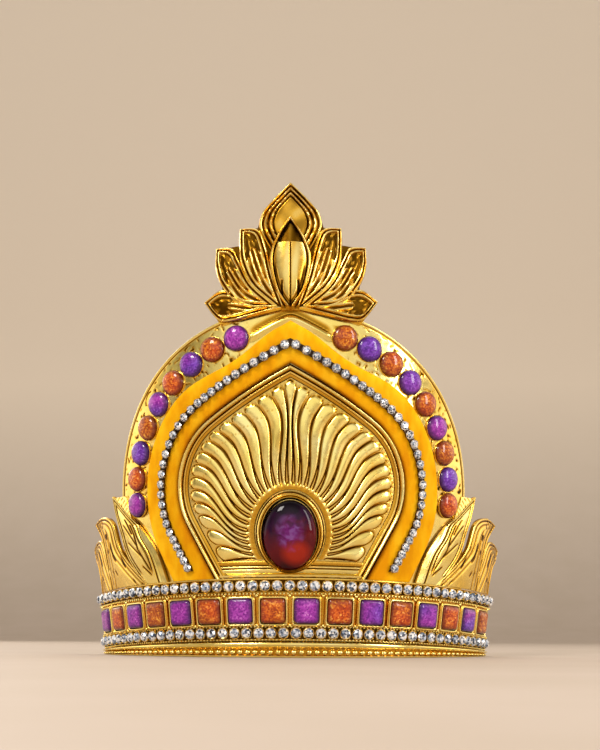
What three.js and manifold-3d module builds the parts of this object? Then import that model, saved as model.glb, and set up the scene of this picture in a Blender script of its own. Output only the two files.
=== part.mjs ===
// A deity crown: a gilt sheet bent round the front of the head, with a lotus on top, a leaf
// spray at each side, a velvet arch round a panel of rays, rhinestone chains and set stones.
// Millimetres, +Z up. It stands on its rim at z = 0 with its front towards -Y, and left and
// right are as seen from the front.
//
// The crown is laid out flat and then bent, as the real sheet is. A flat point is [u, z, d]: u is
// the distance along the face from the centre line, z the height and d the distance out of the face.
// Heights are those at the centre line: everything but the foot slopes down a little towards the ends.

import * as THREE from 'three';
import { mergeGeometries, mergeVertices } from 'three/addons/utils/BufferGeometryUtils.js';
import Module from 'manifold-3d';

const wasm = await Module();
wasm.setup();

const { clamp, degToRad, lerp } = THREE.MathUtils;

// Driving dimensions

const RIM_RADIUS = 76.0; // front of the sheet at z = 0
const FLARE = 0.13; // the face leans out by this much for each millimetre of height
const END_DROP = 5.8; // the rows would fall this far over a quarter turn from the front
const BAND_HALF_ANGLE = degToRad(67);
const SEAT_GAP = 0.3; // between a piece and what it is seated on

const SHEET_THICK = 1.0;
const SHEET_FOOT = 0.4; // lower edge of the sheet, behind the rim
const ARCH_HALF_WIDTH = 70.5;
const ARCH_SPRING = 58.8; // height where the outer arch is widest
const ARCH_RISE = 59.5;
const TONGUE_HALF_WIDTH = 8.0; // the plain tongue behind the lotus
const TONGUE_TOP = 133.0;

const BAND_FOOT = 5.9;
const BAND_TOP = 26.2;
const BAND_BACK = 0.45;
const BAND_FRONT = 1.5;

const SQUARE_COUNT = 16;
const SQUARE_PITCH = degToRad(8);
const SQUARE_ROW = 15.7;
const SQUARE_SIDE = 8.0;
const FRAME_SIDE = 10.4;
const FRAME_HOLE = 8.6;
const FRAME_FRONT = 3.1;

const CHAIN_HALF_ANGLE = degToRad(66.4);
const CHAIN_THICK = 0.8;
const LOWER_CHAIN = { row: 8.2, count: 44 };
const UPPER_CHAIN = { row: 23.9, count: 45 };
const BAND_RHINESTONE = { radius: 1.8, height: 1.4, stripHalfWidth: 1.95 };
const ARCH_RHINESTONE = { radius: 1.2, height: 1.0, stripHalfWidth: 1.35 };
const ARCH_CHAIN_FOOT = 29.6;
const ARCH_CHAIN_COUNT = 60;
const ARCH_CHAIN_LENGTH = 203.5;

const UPPER_FOOT = 26.6; // foot of the velvet, the panel's frame and the leaves, above the band
const VELVET_INSIDE = -5.8; // edges of the velvet, from the line of its chain
const VELVET_OUTSIDE = 8.4;
const VELVET_NARROWING = { depth: 3.2, reach: 0.15, spread: 0.17 }; // below the top stones
const VELVET_EDGE = 1.5; // front of the velvet at its cut edges
const VELVET_CROWN = 1.9; // front of the velvet along its middle
const MOULDING_WIDTH = 4.0;
const SILL_TOP = 27.7;

const OVAL = { centre: 41.0, halfWidth: 9.0, halfHeight: 11.8, dome: 5.4 };
const BEZEL = { centre: 41.9, halfWidth: 11.8, halfHeight: 13.9, front: 3.4 };

const RAY_COUNT = 31;
const RAY_VALLEY = 1.0; // front of the panel between two rays
const RAY_CREST = 2.0; // front of the panel along a ray

const ROUND_COUNT = 9; // on each side
const ROUND_RADIUS = 4.1;
const ROUND_PITCH = 9.1;
const ROUND_DOME = 2.7;
const ROUND_ROW_HALF_WIDTH = 60.3;
const ROUND_ROW_RISE = 51.7;
const ROUND_ROW_START = 18.6; // distance of the top stone from the centre line
const CUP_RADIUS = 4.4;
const CUP_FRONT = 0.3;

// The pointed arch that the velvet, its chain and the panel's moulding follow: on each side a
// curved shoulder from the apex, an arc and a straight leg. The shares are of its length.
const POINTED = {
  apex: 105.6,
  apexSlope: degToRad(28.5),
  arcCentre: [13.6, 58.9],
  arcRadius: 33.0,
  arcStart: degToRad(55),
  arcEnd: degToRad(-30),
  shoulderShare: 0.362,
  arcShare: 0.465,
};

const GOLD = { color: 0xe0b040, roughness: 0.22, metalness: 1.0 };
const VELVET = { color: 0xe8a008, roughness: 0.95, metalness: 0.0 };
const CRYSTAL = { color: 0xe4e8ee, roughness: 0.08, metalness: 0.2 };
const VIOLET = { color: 0x6a1fa0, roughness: 0.2, metalness: 0.0 };
const AMBER = { color: 0xc8480c, roughness: 0.2, metalness: 0.0 };
const AMETHYST = { color: 0x3c0a3c, roughness: 0.08, metalness: 0.0 };

const crown = new THREE.Group();

// Bending

const radiusAt = (z) => RIM_RADIUS + FLARE * z;

const dropAt = (angle) => END_DROP * (1 - Math.cos(angle));

function bent([u, z, d]) {
  const radius = radiusAt(z);
  const angle = u / radius;
  const x = (radius + d) * Math.sin(angle);
  const y = -(radius + d) * Math.cos(angle);
  return new THREE.Vector3(x, y, z - dropAt(angle));
}

function atAngle(angle, z, d) {
  return [angle * radiusAt(z), z, d];
}

// The seat of a flat piece on the face: x along the face, y up it and z out of it.
function seatOnFace([u, z, d]) {
  const angle = u / radiusAt(z);
  const slope = -(END_DROP / radiusAt(z)) * Math.sin(angle);
  const along = new THREE.Vector3(Math.cos(angle), Math.sin(angle), slope).normalize();
  const lean = new THREE.Vector3(FLARE * Math.sin(angle), -FLARE * Math.cos(angle), 1);
  const out = new THREE.Vector3().crossVectors(along, lean).normalize();
  const up = new THREE.Vector3().crossVectors(out, along);
  return new THREE.Matrix4().makeBasis(along, up, out).setPosition(bent([u, z, d]));
}

// Shared vertices and no empty triangles, so that the shape is one closed skin.
function closedSkin(geometry) {
  geometry.deleteAttribute('normal');
  geometry.deleteAttribute('uv');
  const skin = mergeVertices(geometry);
  const corners = skin.index.array;
  const kept = [];
  for (let i = 0; i < corners.length; i += 3) {
    const [a, b, c] = [corners[i], corners[i + 1], corners[i + 2]];
    if (a !== b && b !== c && c !== a) kept.push(a, b, c);
  }
  skin.setIndex(kept);
  return skin;
}

// A wall bent from a box. place gives the flat point for a share along the wall, a share across
// it and whether the point is on the wall's front.
function bentWall(columns, rows, place) {
  const wall = closedSkin(new THREE.BoxGeometry(1, 1, 1, columns, rows, 1));
  const points = wall.attributes.position;
  for (let i = 0; i < points.count; i += 1) {
    const flat = place(points.getX(i) + 0.5, points.getY(i) + 0.5, points.getZ(i) > 0);
    points.setXYZ(i, ...bent(flat).toArray());
  }
  return wall;
}

function solidOf(geometry) {
  const skin = closedSkin(geometry.clone());
  const vertProperties = new Float32Array(skin.attributes.position.array);
  const triVerts = new Uint32Array(skin.index.array);
  return new wasm.Manifold(new wasm.Mesh({ numProp: 3, vertProperties, triVerts }));
}

function fused(geometries) {
  const [first, ...others] = geometries.map(solidOf);
  const mesh = others.reduce((sum, solid) => sum.add(solid), first).getMesh();
  const geometry = new THREE.BufferGeometry();
  geometry.setAttribute('position', new THREE.BufferAttribute(mesh.vertProperties, 3));
  geometry.setIndex(new THREE.BufferAttribute(mesh.triVerts, 1));
  return geometry;
}

// The same shape on the other side of the centre line, with its faces turned out again.
function mirrored(geometry) {
  const copy = geometry.clone().scale(-1, 1, 1);
  copy.setIndex(Array.from(geometry.index.array).reverse());
  return copy;
}

function addPiece(name, geometry, finish, seat) {
  const mesh = new THREE.Mesh(geometry, new THREE.MeshStandardMaterial(finish));
  mesh.name = name;
  if (seat) {
    mesh.position.setFromMatrixPosition(seat);
    mesh.quaternion.setFromRotationMatrix(seat);
  }
  crown.add(mesh);
}

// A solid of revolution that stands on z = 0.
function turned(profile, sides) {
  const lathe = new THREE.LatheGeometry(profile.map((point) => new THREE.Vector2(...point)), sides);
  return closedSkin(lathe.rotateX(Math.PI / 2));
}

// A swell from 0 through 1 and back, for a share from 0 to 1.
const swell = (share) => Math.sin(Math.PI * share);

// A point of the pointed arch, moved out by offset. reach runs from -1 at the left foot through 0
// at the apex to 1 at the right foot.
function pointedArch(offset, reach, foot) {
  const { apex, apexSlope, arcCentre, arcRadius, arcStart, arcEnd, shoulderShare, arcShare } = POINTED;
  const radius = arcRadius + offset;
  const onArc = (angle) => new THREE.Vector2(Math.cos(angle), Math.sin(angle))
    .multiplyScalar(radius).add(new THREE.Vector2(...arcCentre));
  const side = Math.sign(reach);
  const share = Math.abs(reach);
  const legShare = 1 - shoulderShare - arcShare;
  if (share <= shoulderShare) {
    const tip = new THREE.Vector2(0, apex + offset / Math.cos(apexSlope));
    const end = onArc(arcStart);
    // The shoulder leaves the apex at its slope and meets the arc along the arc's tangent.
    const fall = tip.y - end.y - end.x * Math.tan(apexSlope);
    const back = fall / (Math.cos(arcStart) - Math.sin(arcStart) * Math.tan(apexSlope));
    const tangent = new THREE.Vector2(-Math.sin(arcStart), Math.cos(arcStart));
    const bendPoint = end.clone().addScaledVector(tangent, back);
    const point = new THREE.QuadraticBezierCurve(tip, bendPoint, end).getPoint(share / shoulderShare);
    return [side * point.x, point.y];
  }
  if (share <= 1 - legShare) {
    const point = onArc(lerp(arcStart, arcEnd, (share - shoulderShare) / arcShare));
    return [side * point.x, point.y];
  }
  const start = onArc(arcEnd);
  const z = lerp(start.y, foot, 1 - (1 - share) / legShare);
  return [side * (start.x + (start.y - z) * Math.tan(arcEnd)), z];
}

// A strip along the pointed arch: edgesAt gives the offsets of its edges for a reach, and fronts the
// front of the strip at even steps across it.
function archStrip(columns, edgesAt, foot, back, fronts) {
  const rows = fronts.length - 1;
  return bentWall(columns, rows, (along, across, isFront) => {
    const reach = 2 * along - 1;
    const [u, z] = pointedArch(lerp(...edgesAt(reach), across), reach, foot);
    return [u, z, isFront ? fronts[Math.round(across * rows)] : back];
  });
}

// The row of round stones down one side, as flat points from the top stone to the lowest.
function roundRow(side) {
  const place = (turn) => [
    side * ROUND_ROW_HALF_WIDTH * Math.sin(turn),
    ARCH_SPRING + ROUND_ROW_RISE * Math.cos(turn),
  ];
  const turnStep = 0.0005;
  const places = [];
  let turn = Math.asin(ROUND_ROW_START / ROUND_ROW_HALF_WIDTH);
  while (places.length < ROUND_COUNT) {
    const [u, z] = place(turn);
    places.push([u, z]);
    while (Math.hypot(place(turn)[0] - u, place(turn)[1] - z) < ROUND_PITCH) turn += turnStep;
  }
  return places;
}

// The sheet: one gilt wall from the rim up to the arch, with a cup for each round stone. Its
// columns keep their angle from foot to top, and crowd where the top edge turns or steps.

function sheetTop(u) {
  if (Math.abs(u) <= TONGUE_HALF_WIDTH) return TONGUE_TOP;
  if (Math.abs(u) > ARCH_HALF_WIDTH) return BAND_TOP;
  return ARCH_SPRING + ARCH_RISE * Math.sqrt(1 - (u / ARCH_HALF_WIDTH) ** 2);
}

function sheetColumns() {
  const step = 0.1;
  const archColumns = 12;
  const beltColumns = 4;
  const beltEnd = BAND_HALF_ANGLE * radiusAt(BAND_TOP);
  const half = [TONGUE_HALF_WIDTH, TONGUE_HALF_WIDTH + step];
  for (let i = 2; i <= archColumns; i += 1) {
    half.push(ARCH_HALF_WIDTH * Math.sin((Math.PI / 2) * (i / archColumns)));
  }
  half.push(ARCH_HALF_WIDTH + step);
  for (let i = 1; i <= beltColumns; i += 1) {
    half.push(lerp(ARCH_HALF_WIDTH, beltEnd, i / beltColumns));
  }
  return [...half.map((u) => -u).reverse(), 0, ...half];
}

function makeSheet() {
  const columns = sheetColumns();
  const wall = bentWall(columns.length - 1, 1, (along, across, isFront) => {
    const u = columns[Math.round(along * (columns.length - 1))];
    const top = sheetTop(u);
    const angle = u / radiusAt(top);
    const foot = SHEET_FOOT + dropAt(angle);
    return atAngle(angle, lerp(foot, top, across), isFront ? 0 : -SHEET_THICK);
  });
  const cupSides = 8;
  const sink = SHEET_THICK / 2;
  const cupHeight = sink + CUP_FRONT;
  const cupProfile = [[0, 0], [CUP_RADIUS, 0], [CUP_RADIUS, cupHeight], [0, cupHeight]];
  const cups = [...roundRow(-1), ...roundRow(1)].map(([u, z]) => (
    turned(cupProfile, cupSides).applyMatrix4(seatOnFace([u, z, -sink]))));
  addPiece('face_sheet', fused([wall, ...cups]), GOLD);
}

// Round stones: low domes, violet and amber in turn, one on each cup.

function makeRoundStones() {
  const sides = 10;
  const profile = [
    [0, 0],
    [ROUND_RADIUS, 0],
    [0.95 * ROUND_RADIUS, 0.4 * ROUND_DOME],
    [0.62 * ROUND_RADIUS, 0.82 * ROUND_DOME],
    [0, ROUND_DOME],
  ];
  for (const { side, word } of [{ side: -1, word: 'left' }, { side: 1, word: 'right' }]) {
    roundRow(side).forEach(([u, z], i) => {
      const isViolet = (i % 2 === 0) === (side < 0);
      const seat = seatOnFace([u, z, CUP_FRONT + SEAT_GAP]);
      addPiece(`round_stone_${word}_${i + 1}`, turned(profile, sides), isViolet ? VIOLET : AMBER, seat);
    });
  }
}

// The rim: a strip along the foot with a flat underside, a roll for beading and a smooth roll. It
// is lower at its ends, where the band slopes down to it.

function makeRim() {
  const RIM_PROFILE = [
    { share: 0, front: 2.6 },
    { share: 0.16, front: 2.5 },
    { share: 0.36, front: 3.0 },
    { share: 0.54, front: 2.1 },
    { share: 0.77, front: 3.0 },
    { share: 1, front: 1.9 },
  ];
  const top = BAND_FOOT - SEAT_GAP;
  const columns = 22;
  const rows = RIM_PROFILE.length - 1;
  const wall = bentWall(columns, rows, (along, across, isFront) => {
    const { share, front } = RIM_PROFILE[Math.round(across * rows)];
    const angle = lerp(-BAND_HALF_ANGLE, BAND_HALF_ANGLE, along);
    return atAngle(angle, lerp(dropAt(angle), top, share), isFront ? front : SEAT_GAP);
  });
  addPiece('base_rim', wall, GOLD);
}

// The band: a strip over the foot of the sheet in flats, with a raised frame on each flat.

function squareAngle(i) {
  return (i - (SQUARE_COUNT - 1) / 2) * SQUARE_PITCH;
}

// How far the middle of a flat lies inside the round of the band.
const FLAT_DIP = radiusAt(SQUARE_ROW) * (1 - Math.cos(SQUARE_PITCH / 2));

function squareOutline(side) {
  const half = side / 2;
  return [[-half, -half], [half, -half], [half, half], [-half, half]].map((p) => new THREE.Vector2(...p));
}

function makeBand() {
  const angles = [-BAND_HALF_ANGLE];
  for (let i = 0; i <= SQUARE_COUNT; i += 1) angles.push(squareAngle(i - 0.5));
  angles.push(BAND_HALF_ANGLE);
  const columns = angles.length - 1;
  const strip = bentWall(columns, 1, (along, across, isFront) => {
    const angle = angles[Math.round(along * columns)];
    return atAngle(angle, lerp(BAND_FOOT, BAND_TOP, across), isFront ? BAND_FRONT : BAND_BACK);
  });
  const sink = 0.5;
  const back = BAND_FRONT - FLAT_DIP - sink;
  const outline = new THREE.Shape(squareOutline(FRAME_SIDE));
  outline.holes.push(new THREE.Path(squareOutline(FRAME_HOLE)));
  const frames = Array.from({ length: SQUARE_COUNT }, (_, i) => {
    const frame = new THREE.ExtrudeGeometry(outline, { depth: FRAME_FRONT - back, bevelEnabled: false });
    return frame.applyMatrix4(seatOnFace(atAngle(squareAngle(i), SQUARE_ROW, back)));
  });
  addPiece('base_band', fused([strip, ...frames]), GOLD);
}

// Square stones: a wall, a bevel and a flat table with cut corners, one in each frame.

function squareStone() {
  const half = SQUARE_SIDE / 2;
  const table = 0.72 * half;
  const wallHeight = 1.3;
  const height = 2.4;
  const sides = 8;
  const toCorner = 1 / Math.cos(Math.PI / sides);
  const profile = [
    [0, 0],
    [half * toCorner, 0],
    [half * toCorner, wallHeight],
    [table * toCorner, height],
    [0, height],
  ];
  const stone = turned(profile, sides).rotateZ(Math.PI / sides);
  // The eight even corners are drawn out towards the four corners of a square.
  const drawOut = 1.75;
  const points = stone.attributes.position;
  for (let i = 0; i < points.count; i += 1) {
    const [x, y] = [points.getX(i), points.getY(i)];
    if (Math.abs(x) > Math.abs(y)) points.setY(i, y * drawOut);
    else points.setX(i, x * drawOut);
  }
  return stone;
}

function makeSquareStones() {
  for (let i = 0; i < SQUARE_COUNT; i += 1) {
    const seat = seatOnFace(atAngle(squareAngle(i), SQUARE_ROW, BAND_FRONT - FLAT_DIP + SEAT_GAP));
    const name = `square_stone_${String(i + 1).padStart(2, '0')}`;
    addPiece(name, squareStone(), i % 2 === 0 ? VIOLET : AMBER, seat);
  }
}

// Rhinestone chains: a metal strip with a row of cut stones, each with a table and eight facets.
// A chain is laid out straight, one cell of the strip to a stone, and then follows its route.

const FACETS = 8;
const FACET_TURN = Math.PI / FACETS;

// The strip's back and sides, open at the front, where the cells close it.
function chainTrough(length, halfWidth, back, front, count) {
  const trough = new THREE.BoxGeometry(length, 2 * halfWidth, front - back, count, 1, 1);
  const frontFace = trough.groups[4];
  const corners = Array.from(trough.index.array);
  corners.splice(frontFace.start, frontFace.count);
  trough.setIndex(corners);
  return trough.translate(length / 2, 0, (back + front) / 2);
}

// One cell: the front of the strip with an eight-sided hole, and the stone that stands in it.
function chainCell({ radius, height, stripHalfWidth }, pitch) {
  const table = 0.58 * radius;
  const half = pitch / 2;
  const outline = [[-half, -1], [half, -1], [half, 1], [-half, 1]];
  const plate = new THREE.Shape(outline.map(([x, side]) => new THREE.Vector2(x, side * stripHalfWidth)));
  const hole = Array.from({ length: FACETS }, (_, i) => {
    const angle = FACET_TURN * (2 * i + 1);
    return new THREE.Vector2(radius * Math.cos(angle), radius * Math.sin(angle));
  });
  plate.holes.push(new THREE.Path(hole));
  const facets = new THREE.CylinderGeometry(table, radius, height, FACETS, 1, true);
  facets.rotateX(Math.PI / 2).rotateZ(FACET_TURN).translate(0, 0, height / 2);
  const top = new THREE.CircleGeometry(table, FACETS).rotateZ(FACET_TURN).translate(0, 0, height);
  return mergeGeometries([new THREE.ShapeGeometry(plate), facets, top]);
}

// route gives the flat place for a share along the chain and a distance across it.
function makeChain(name, stone, count, length, back, route) {
  const front = back + CHAIN_THICK;
  const pitch = length / count;
  const cells = Array.from({ length: count }, (_, i) => (
    chainCell(stone, pitch).translate((i + 0.5) * pitch, 0, front)));
  const trough = chainTrough(length, stone.stripHalfWidth, back, front, count);
  const chain = closedSkin(mergeGeometries([trough, ...cells]));
  const points = chain.attributes.position;
  for (let i = 0; i < points.count; i += 1) {
    const [u, z] = route(points.getX(i) / length, points.getY(i));
    points.setXYZ(i, ...bent([u, z, points.getZ(i)]).toArray());
  }
  addPiece(name, chain, CRYSTAL);
}

function makeBandChain(name, { row, count }) {
  const length = 2 * CHAIN_HALF_ANGLE * radiusAt(row);
  makeChain(name, BAND_RHINESTONE, count, length, BAND_FRONT + SEAT_GAP, (share, across) => (
    atAngle(lerp(-CHAIN_HALF_ANGLE, CHAIN_HALF_ANGLE, share), row + across)));
}

function makeArchChain() {
  const back = VELVET_CROWN + SEAT_GAP;
  makeChain('arch_chain', ARCH_RHINESTONE, ARCH_CHAIN_COUNT, ARCH_CHAIN_LENGTH, back, (share, across) => (
    pointedArch(across, 2 * share - 1, ARCH_CHAIN_FOOT)));
}

// The velvet arch: a cut strip of plush, a little higher along its middle and narrower below the
// top stones.

function velvetEdges(reach) {
  const { depth, reach: middle, spread } = VELVET_NARROWING;
  const share = Math.exp(-(((Math.abs(reach) - middle) / spread) ** 2));
  return [VELVET_INSIDE, VELVET_OUTSIDE - depth * share];
}

function makeVelvet() {
  const columns = 34;
  const fronts = [VELVET_EDGE, VELVET_CROWN, VELVET_EDGE];
  const wall = archStrip(columns, velvetEdges, UPPER_FOOT, SEAT_GAP, fronts);
  addPiece('velvet_arch', wall, VELVET);
}

// The panel's frame: a ridged moulding along the inside of the velvet, joined by a sill.

const MOULDING_OUTSIDE = VELVET_INSIDE - SEAT_GAP;
const MOULDING_INSIDE = MOULDING_OUTSIDE - MOULDING_WIDTH;

function makePanelFrame() {
  const columns = 34;
  const fronts = [1.2, 2.6, 1.2];
  const edges = () => [MOULDING_INSIDE, MOULDING_OUTSIDE];
  const moulding = archStrip(columns, edges, UPPER_FOOT, SEAT_GAP, fronts);
  const [sillEnd] = pointedArch((MOULDING_INSIDE + MOULDING_OUTSIDE) / 2, 1, UPPER_FOOT);
  const sillColumns = 8;
  const sillBack = SEAT_GAP + 0.1;
  const sill = bentWall(sillColumns, 1, (along, across, isFront) => {
    const z = lerp(UPPER_FOOT, SILL_TOP, across);
    return [lerp(-sillEnd, sillEnd, along), z, isFront ? BAND_FRONT : sillBack];
  });
  addPiece('panel_frame', fused([moulding, sill]), GOLD);
}

// The panel: rays that fan out from the oval's bezel and sweep in an S to the moulding. They leave
// the bezel square to it, or level beside its lower half, and their tips bend outwards.

const FAN_HALF_TURN = degToRad(130);
const TIP_BEND = { first: 0.5, within: 0.09, slope: 1.55, most: 1.62 }; // radians from upright
const FAN_HANDLE = 0.45; // of the distance from the bezel to the moulding

function tipAngle(turn) {
  const size = Math.abs(turn);
  const bend = TIP_BEND.first * Math.min(size / TIP_BEND.within, 1) + TIP_BEND.slope * size;
  return Math.sign(turn) * Math.min(bend, TIP_BEND.most);
}

// A point of the fan. turn runs from -1 at the left end to 1 at the right end, and along from the
// bezel to the moulding.
function fanPoint(turn, along) {
  const towards = (angle) => new THREE.Vector2(Math.sin(angle), Math.cos(angle));
  const angle = turn * FAN_HALF_TURN;
  const start = towards(angle)
    .multiply(new THREE.Vector2(BEZEL.halfWidth + SEAT_GAP, BEZEL.halfHeight + SEAT_GAP))
    .add(new THREE.Vector2(0, BEZEL.centre));
  const end = new THREE.Vector2(...pointedArch(MOULDING_INSIDE - SEAT_GAP, turn, SILL_TOP + SEAT_GAP));
  const handle = FAN_HANDLE * start.distanceTo(end);
  const level = Math.PI / 2;
  const firstHandle = start.clone().addScaledVector(towards(clamp(angle, -level, level)), handle);
  const lastHandle = end.clone().addScaledVector(towards(tipAngle(turn)), -handle);
  return new THREE.CubicBezierCurve(start, firstHandle, lastHandle, end).getPoint(along);
}

function makeRayPanel() {
  const columns = 2 * RAY_COUNT;
  const rows = 5;
  const wall = bentWall(columns, rows, (across, along, isFront) => {
    const { x: u, y: z } = fanPoint(2 * across - 1, along);
    const isCrest = Math.round(across * columns) % 2 === 1;
    const crest = lerp(RAY_VALLEY, RAY_CREST, swell(lerp(0.15, 0.9, along)));
    const front = isCrest ? crest : RAY_VALLEY;
    return [u, z, isFront ? front : SEAT_GAP];
  });
  addPiece('ray_panel', wall, GOLD);
}

// The oval stone and its bezel: a polished dome in a ring that is wider at the top.

function makeOval() {
  const sides = 20;
  const ringSides = 6;
  const ring = closedSkin(new THREE.TorusGeometry(1, 0.5, ringSides, sides));
  const points = ring.attributes.position;
  for (let i = 0; i < points.count; i += 1) {
    const angle = Math.atan2(points.getY(i), points.getX(i));
    const outShare = Math.hypot(points.getX(i), points.getY(i)) - 0.5;
    const halfWidth = lerp(OVAL.halfWidth + SEAT_GAP, BEZEL.halfWidth, outShare);
    const halfHeight = lerp(OVAL.halfHeight + SEAT_GAP, BEZEL.halfHeight, outShare);
    const u = halfWidth * Math.cos(angle);
    const z = lerp(OVAL.centre, BEZEL.centre, outShare) + halfHeight * Math.sin(angle);
    const d = lerp(SEAT_GAP, BEZEL.front, points.getZ(i) + 0.5);
    points.setXYZ(i, ...bent([u, z, d]).toArray());
  }
  addPiece('oval_bezel', ring, GOLD);

  const profile = [
    [0, 0],
    [1, 0],
    [1, 0.3 * OVAL.dome],
    [0.9, 0.6 * OVAL.dome],
    [0.6, 0.89 * OVAL.dome],
    [0, OVAL.dome],
  ];
  const stone = turned(profile, sides).scale(OVAL.halfWidth, OVAL.halfHeight, 1);
  addPiece('oval_stone', stone, AMETHYST, seatOnFace([0, OVAL.centre, 2 * SEAT_GAP]));
}

// Leaves and petals: each lies between two edges that meet at its tip and is raised along its
// middle. An edge is a short list of flat points from the foot to the tip.

function blade({ left, right, back, edge, crest }) {
  const columns = 6;
  const rows = 2;
  const curveThrough = (points) => new THREE.SplineCurve(points.map((p) => new THREE.Vector2(...p)));
  const leftEdge = curveThrough(left);
  const rightEdge = curveThrough(right);
  return bentWall(columns, rows, (along, across, isFront) => {
    const point = rightEdge.getPoint(along).lerp(leftEdge.getPoint(along), across);
    const front = lerp(edge, crest, swell(across) * swell(lerp(0.25, 0.95, along)));
    return [point.x, point.y, isFront ? front : back];
  });
}

// Leaf sprays: three leaves beside the arch, from the inner one to the outer one.

const SPRAY_LEAVES = [
  {
    left: [[45.2, UPPER_FOOT], [50.2, 37.5], [58.9, 47.2], [65.2, 51.8], [75.7, 60.2]],
    right: [[56, UPPER_FOOT], [66.4, 37.3], [71.2, 46.8], [74.4, 53.8], [76.3, 59.8]],
    back: 0.9,
    edge: 1.7,
    crest: 2.5,
  },
  {
    left: [[54, UPPER_FOOT], [70, 39.4], [76.4, 50.6], [85.4, 54], [95.4, 53]],
    right: [[80, UPPER_FOOT], [84, 38], [87, 45], [90.6, 48.8], [95.7, 52.4]],
    back: 0.6,
    edge: 1.4,
    crest: 2.1,
  },
  {
    left: [[76, UPPER_FOOT], [83, 37.2], [88.6, 45], [95.2, 46.4], [103.4, 44.8]],
    right: [[92.6, UPPER_FOOT], [93.8, 31.4], [96.8, 36.6], [101.2, 39.6], [103.7, 44.2]],
    back: SEAT_GAP,
    edge: 1.1,
    crest: 1.8,
  },
];

function makeSprays() {
  const spray = fused(SPRAY_LEAVES.map(blade));
  addPiece('leaf_spray_left', mirrored(spray), GOLD);
  addPiece('leaf_spray_right', spray, GOLD);
}

// The lotus: a plate with the lotus's stepped outline, and raised petals on it. The side petals
// are those on the right, from the top one down.

const LOTUS_OUTLINE = [
  { height: 112.8, halfWidth: 24.4 },
  { height: 120.8, halfWidth: 29.8 },
  { height: 124.9, halfWidth: 23.8 },
  { height: 135.1, halfWidth: 25.6 },
  { height: 138.8, halfWidth: 24.8 },
  { height: 139.3, halfWidth: 17.8 },
  { height: 144.3, halfWidth: 17.0 },
  { height: 145.0, halfWidth: 11.5 },
  { height: 148.9, halfWidth: 10.4 },
  { height: 153.1, halfWidth: 7.0 },
  { height: 160.0, halfWidth: 0.4 },
];
const LOTUS_PLATE_FRONT = 1.5;
const LOTUS_FOOT_RISE = 3.9; // the foot of the plate is higher at the middle, over the velvet

const TALL_PETAL = {
  left: [[-4, 132.4], [-9.9, 143.2], [-9.9, 148.7], [-6.8, 153.1], [-0.3, 159.7]],
  right: [[4, 132.4], [9.9, 143.2], [9.9, 148.7], [6.8, 153.1], [0.3, 159.7]],
  back: 1.0,
  edge: 2.4,
  crest: 3.2,
};
const FRONT_PETAL = {
  left: [[-1.4, 117.2], [-5, 123.6], [-6.8, 133.4], [-4.6, 141.0], [-0.3, 147.6]],
  right: [[1.4, 117.2], [5, 123.6], [6.8, 133.4], [4.6, 141.0], [0.3, 147.6]],
  back: 1.0,
  edge: 3.8,
  crest: 6.0,
};
const SIDE_PETALS = [
  {
    left: [[2, 117.6], [5.6, 128.0], [8, 138.1], [10.6, 143.8], [16.7, 144.5]],
    right: [[5, 117.4], [13, 124.8], [16.7, 132.8], [17.2, 138.9], [17.0, 144.1]],
    back: 1.0,
    edge: 2.8,
    crest: 4.6,
  },
  {
    left: [[4, 117.4], [13, 125.8], [17.4, 134.3], [19.6, 138.2], [25.0, 138.9]],
    right: [[5, 116.8], [16.6, 118.3], [22.8, 124.8], [25.5, 131.7], [25.3, 138.4]],
    back: 1.0,
    edge: 2.4,
    crest: 4.2,
  },
  {
    left: [[3, 117.5], [13.6, 120.2], [20, 123.7], [24.4, 124.4], [29.6, 121.1]],
    right: [[3, 116.6], [13, 114.6], [20, 113.5], [24.6, 114.2], [29.6, 120.5]],
    back: 1.0,
    edge: 2.0,
    crest: 3.4,
  },
];

function makeLotus() {
  const columns = 6;
  const rows = LOTUS_OUTLINE.length - 1;
  const plate = bentWall(columns, rows, (across, along, isFront) => {
    const row = Math.round(along * rows);
    const { height, halfWidth } = LOTUS_OUTLINE[row];
    const rise = row === 0 ? LOTUS_FOOT_RISE * swell(across) : 0;
    return [lerp(-halfWidth, halfWidth, across), height + rise, isFront ? LOTUS_PLATE_FRONT : SEAT_GAP];
  });
  const sidePetals = SIDE_PETALS.map(blade);
  const petals = [blade(TALL_PETAL), ...sidePetals, ...sidePetals.map(mirrored), blade(FRONT_PETAL)];
  addPiece('lotus_finial', fused([plate, ...petals]), GOLD);
}

makeSheet();
makeRim();
makeBand();
makeSquareStones();
makeBandChain('lower_chain', LOWER_CHAIN);
makeBandChain('upper_chain', UPPER_CHAIN);
makeVelvet();
makeArchChain();
makePanelFrame();
makeRayPanel();
makeOval();
makeRoundStones();
makeSprays();
makeLotus();

// The origin is under the middle of the crown, on the floor.
const extent = new THREE.Box3().setFromObject(crown, true);
crown.position.y = -(extent.min.y + extent.max.y) / 2;

export default crown;
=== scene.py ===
import random
from math import atan2, cos, exp, floor, hypot, pi, radians, sin, sqrt, tan

import bmesh
import bpy
from mathutils import Matrix, Quaternion, Vector, noise


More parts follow.
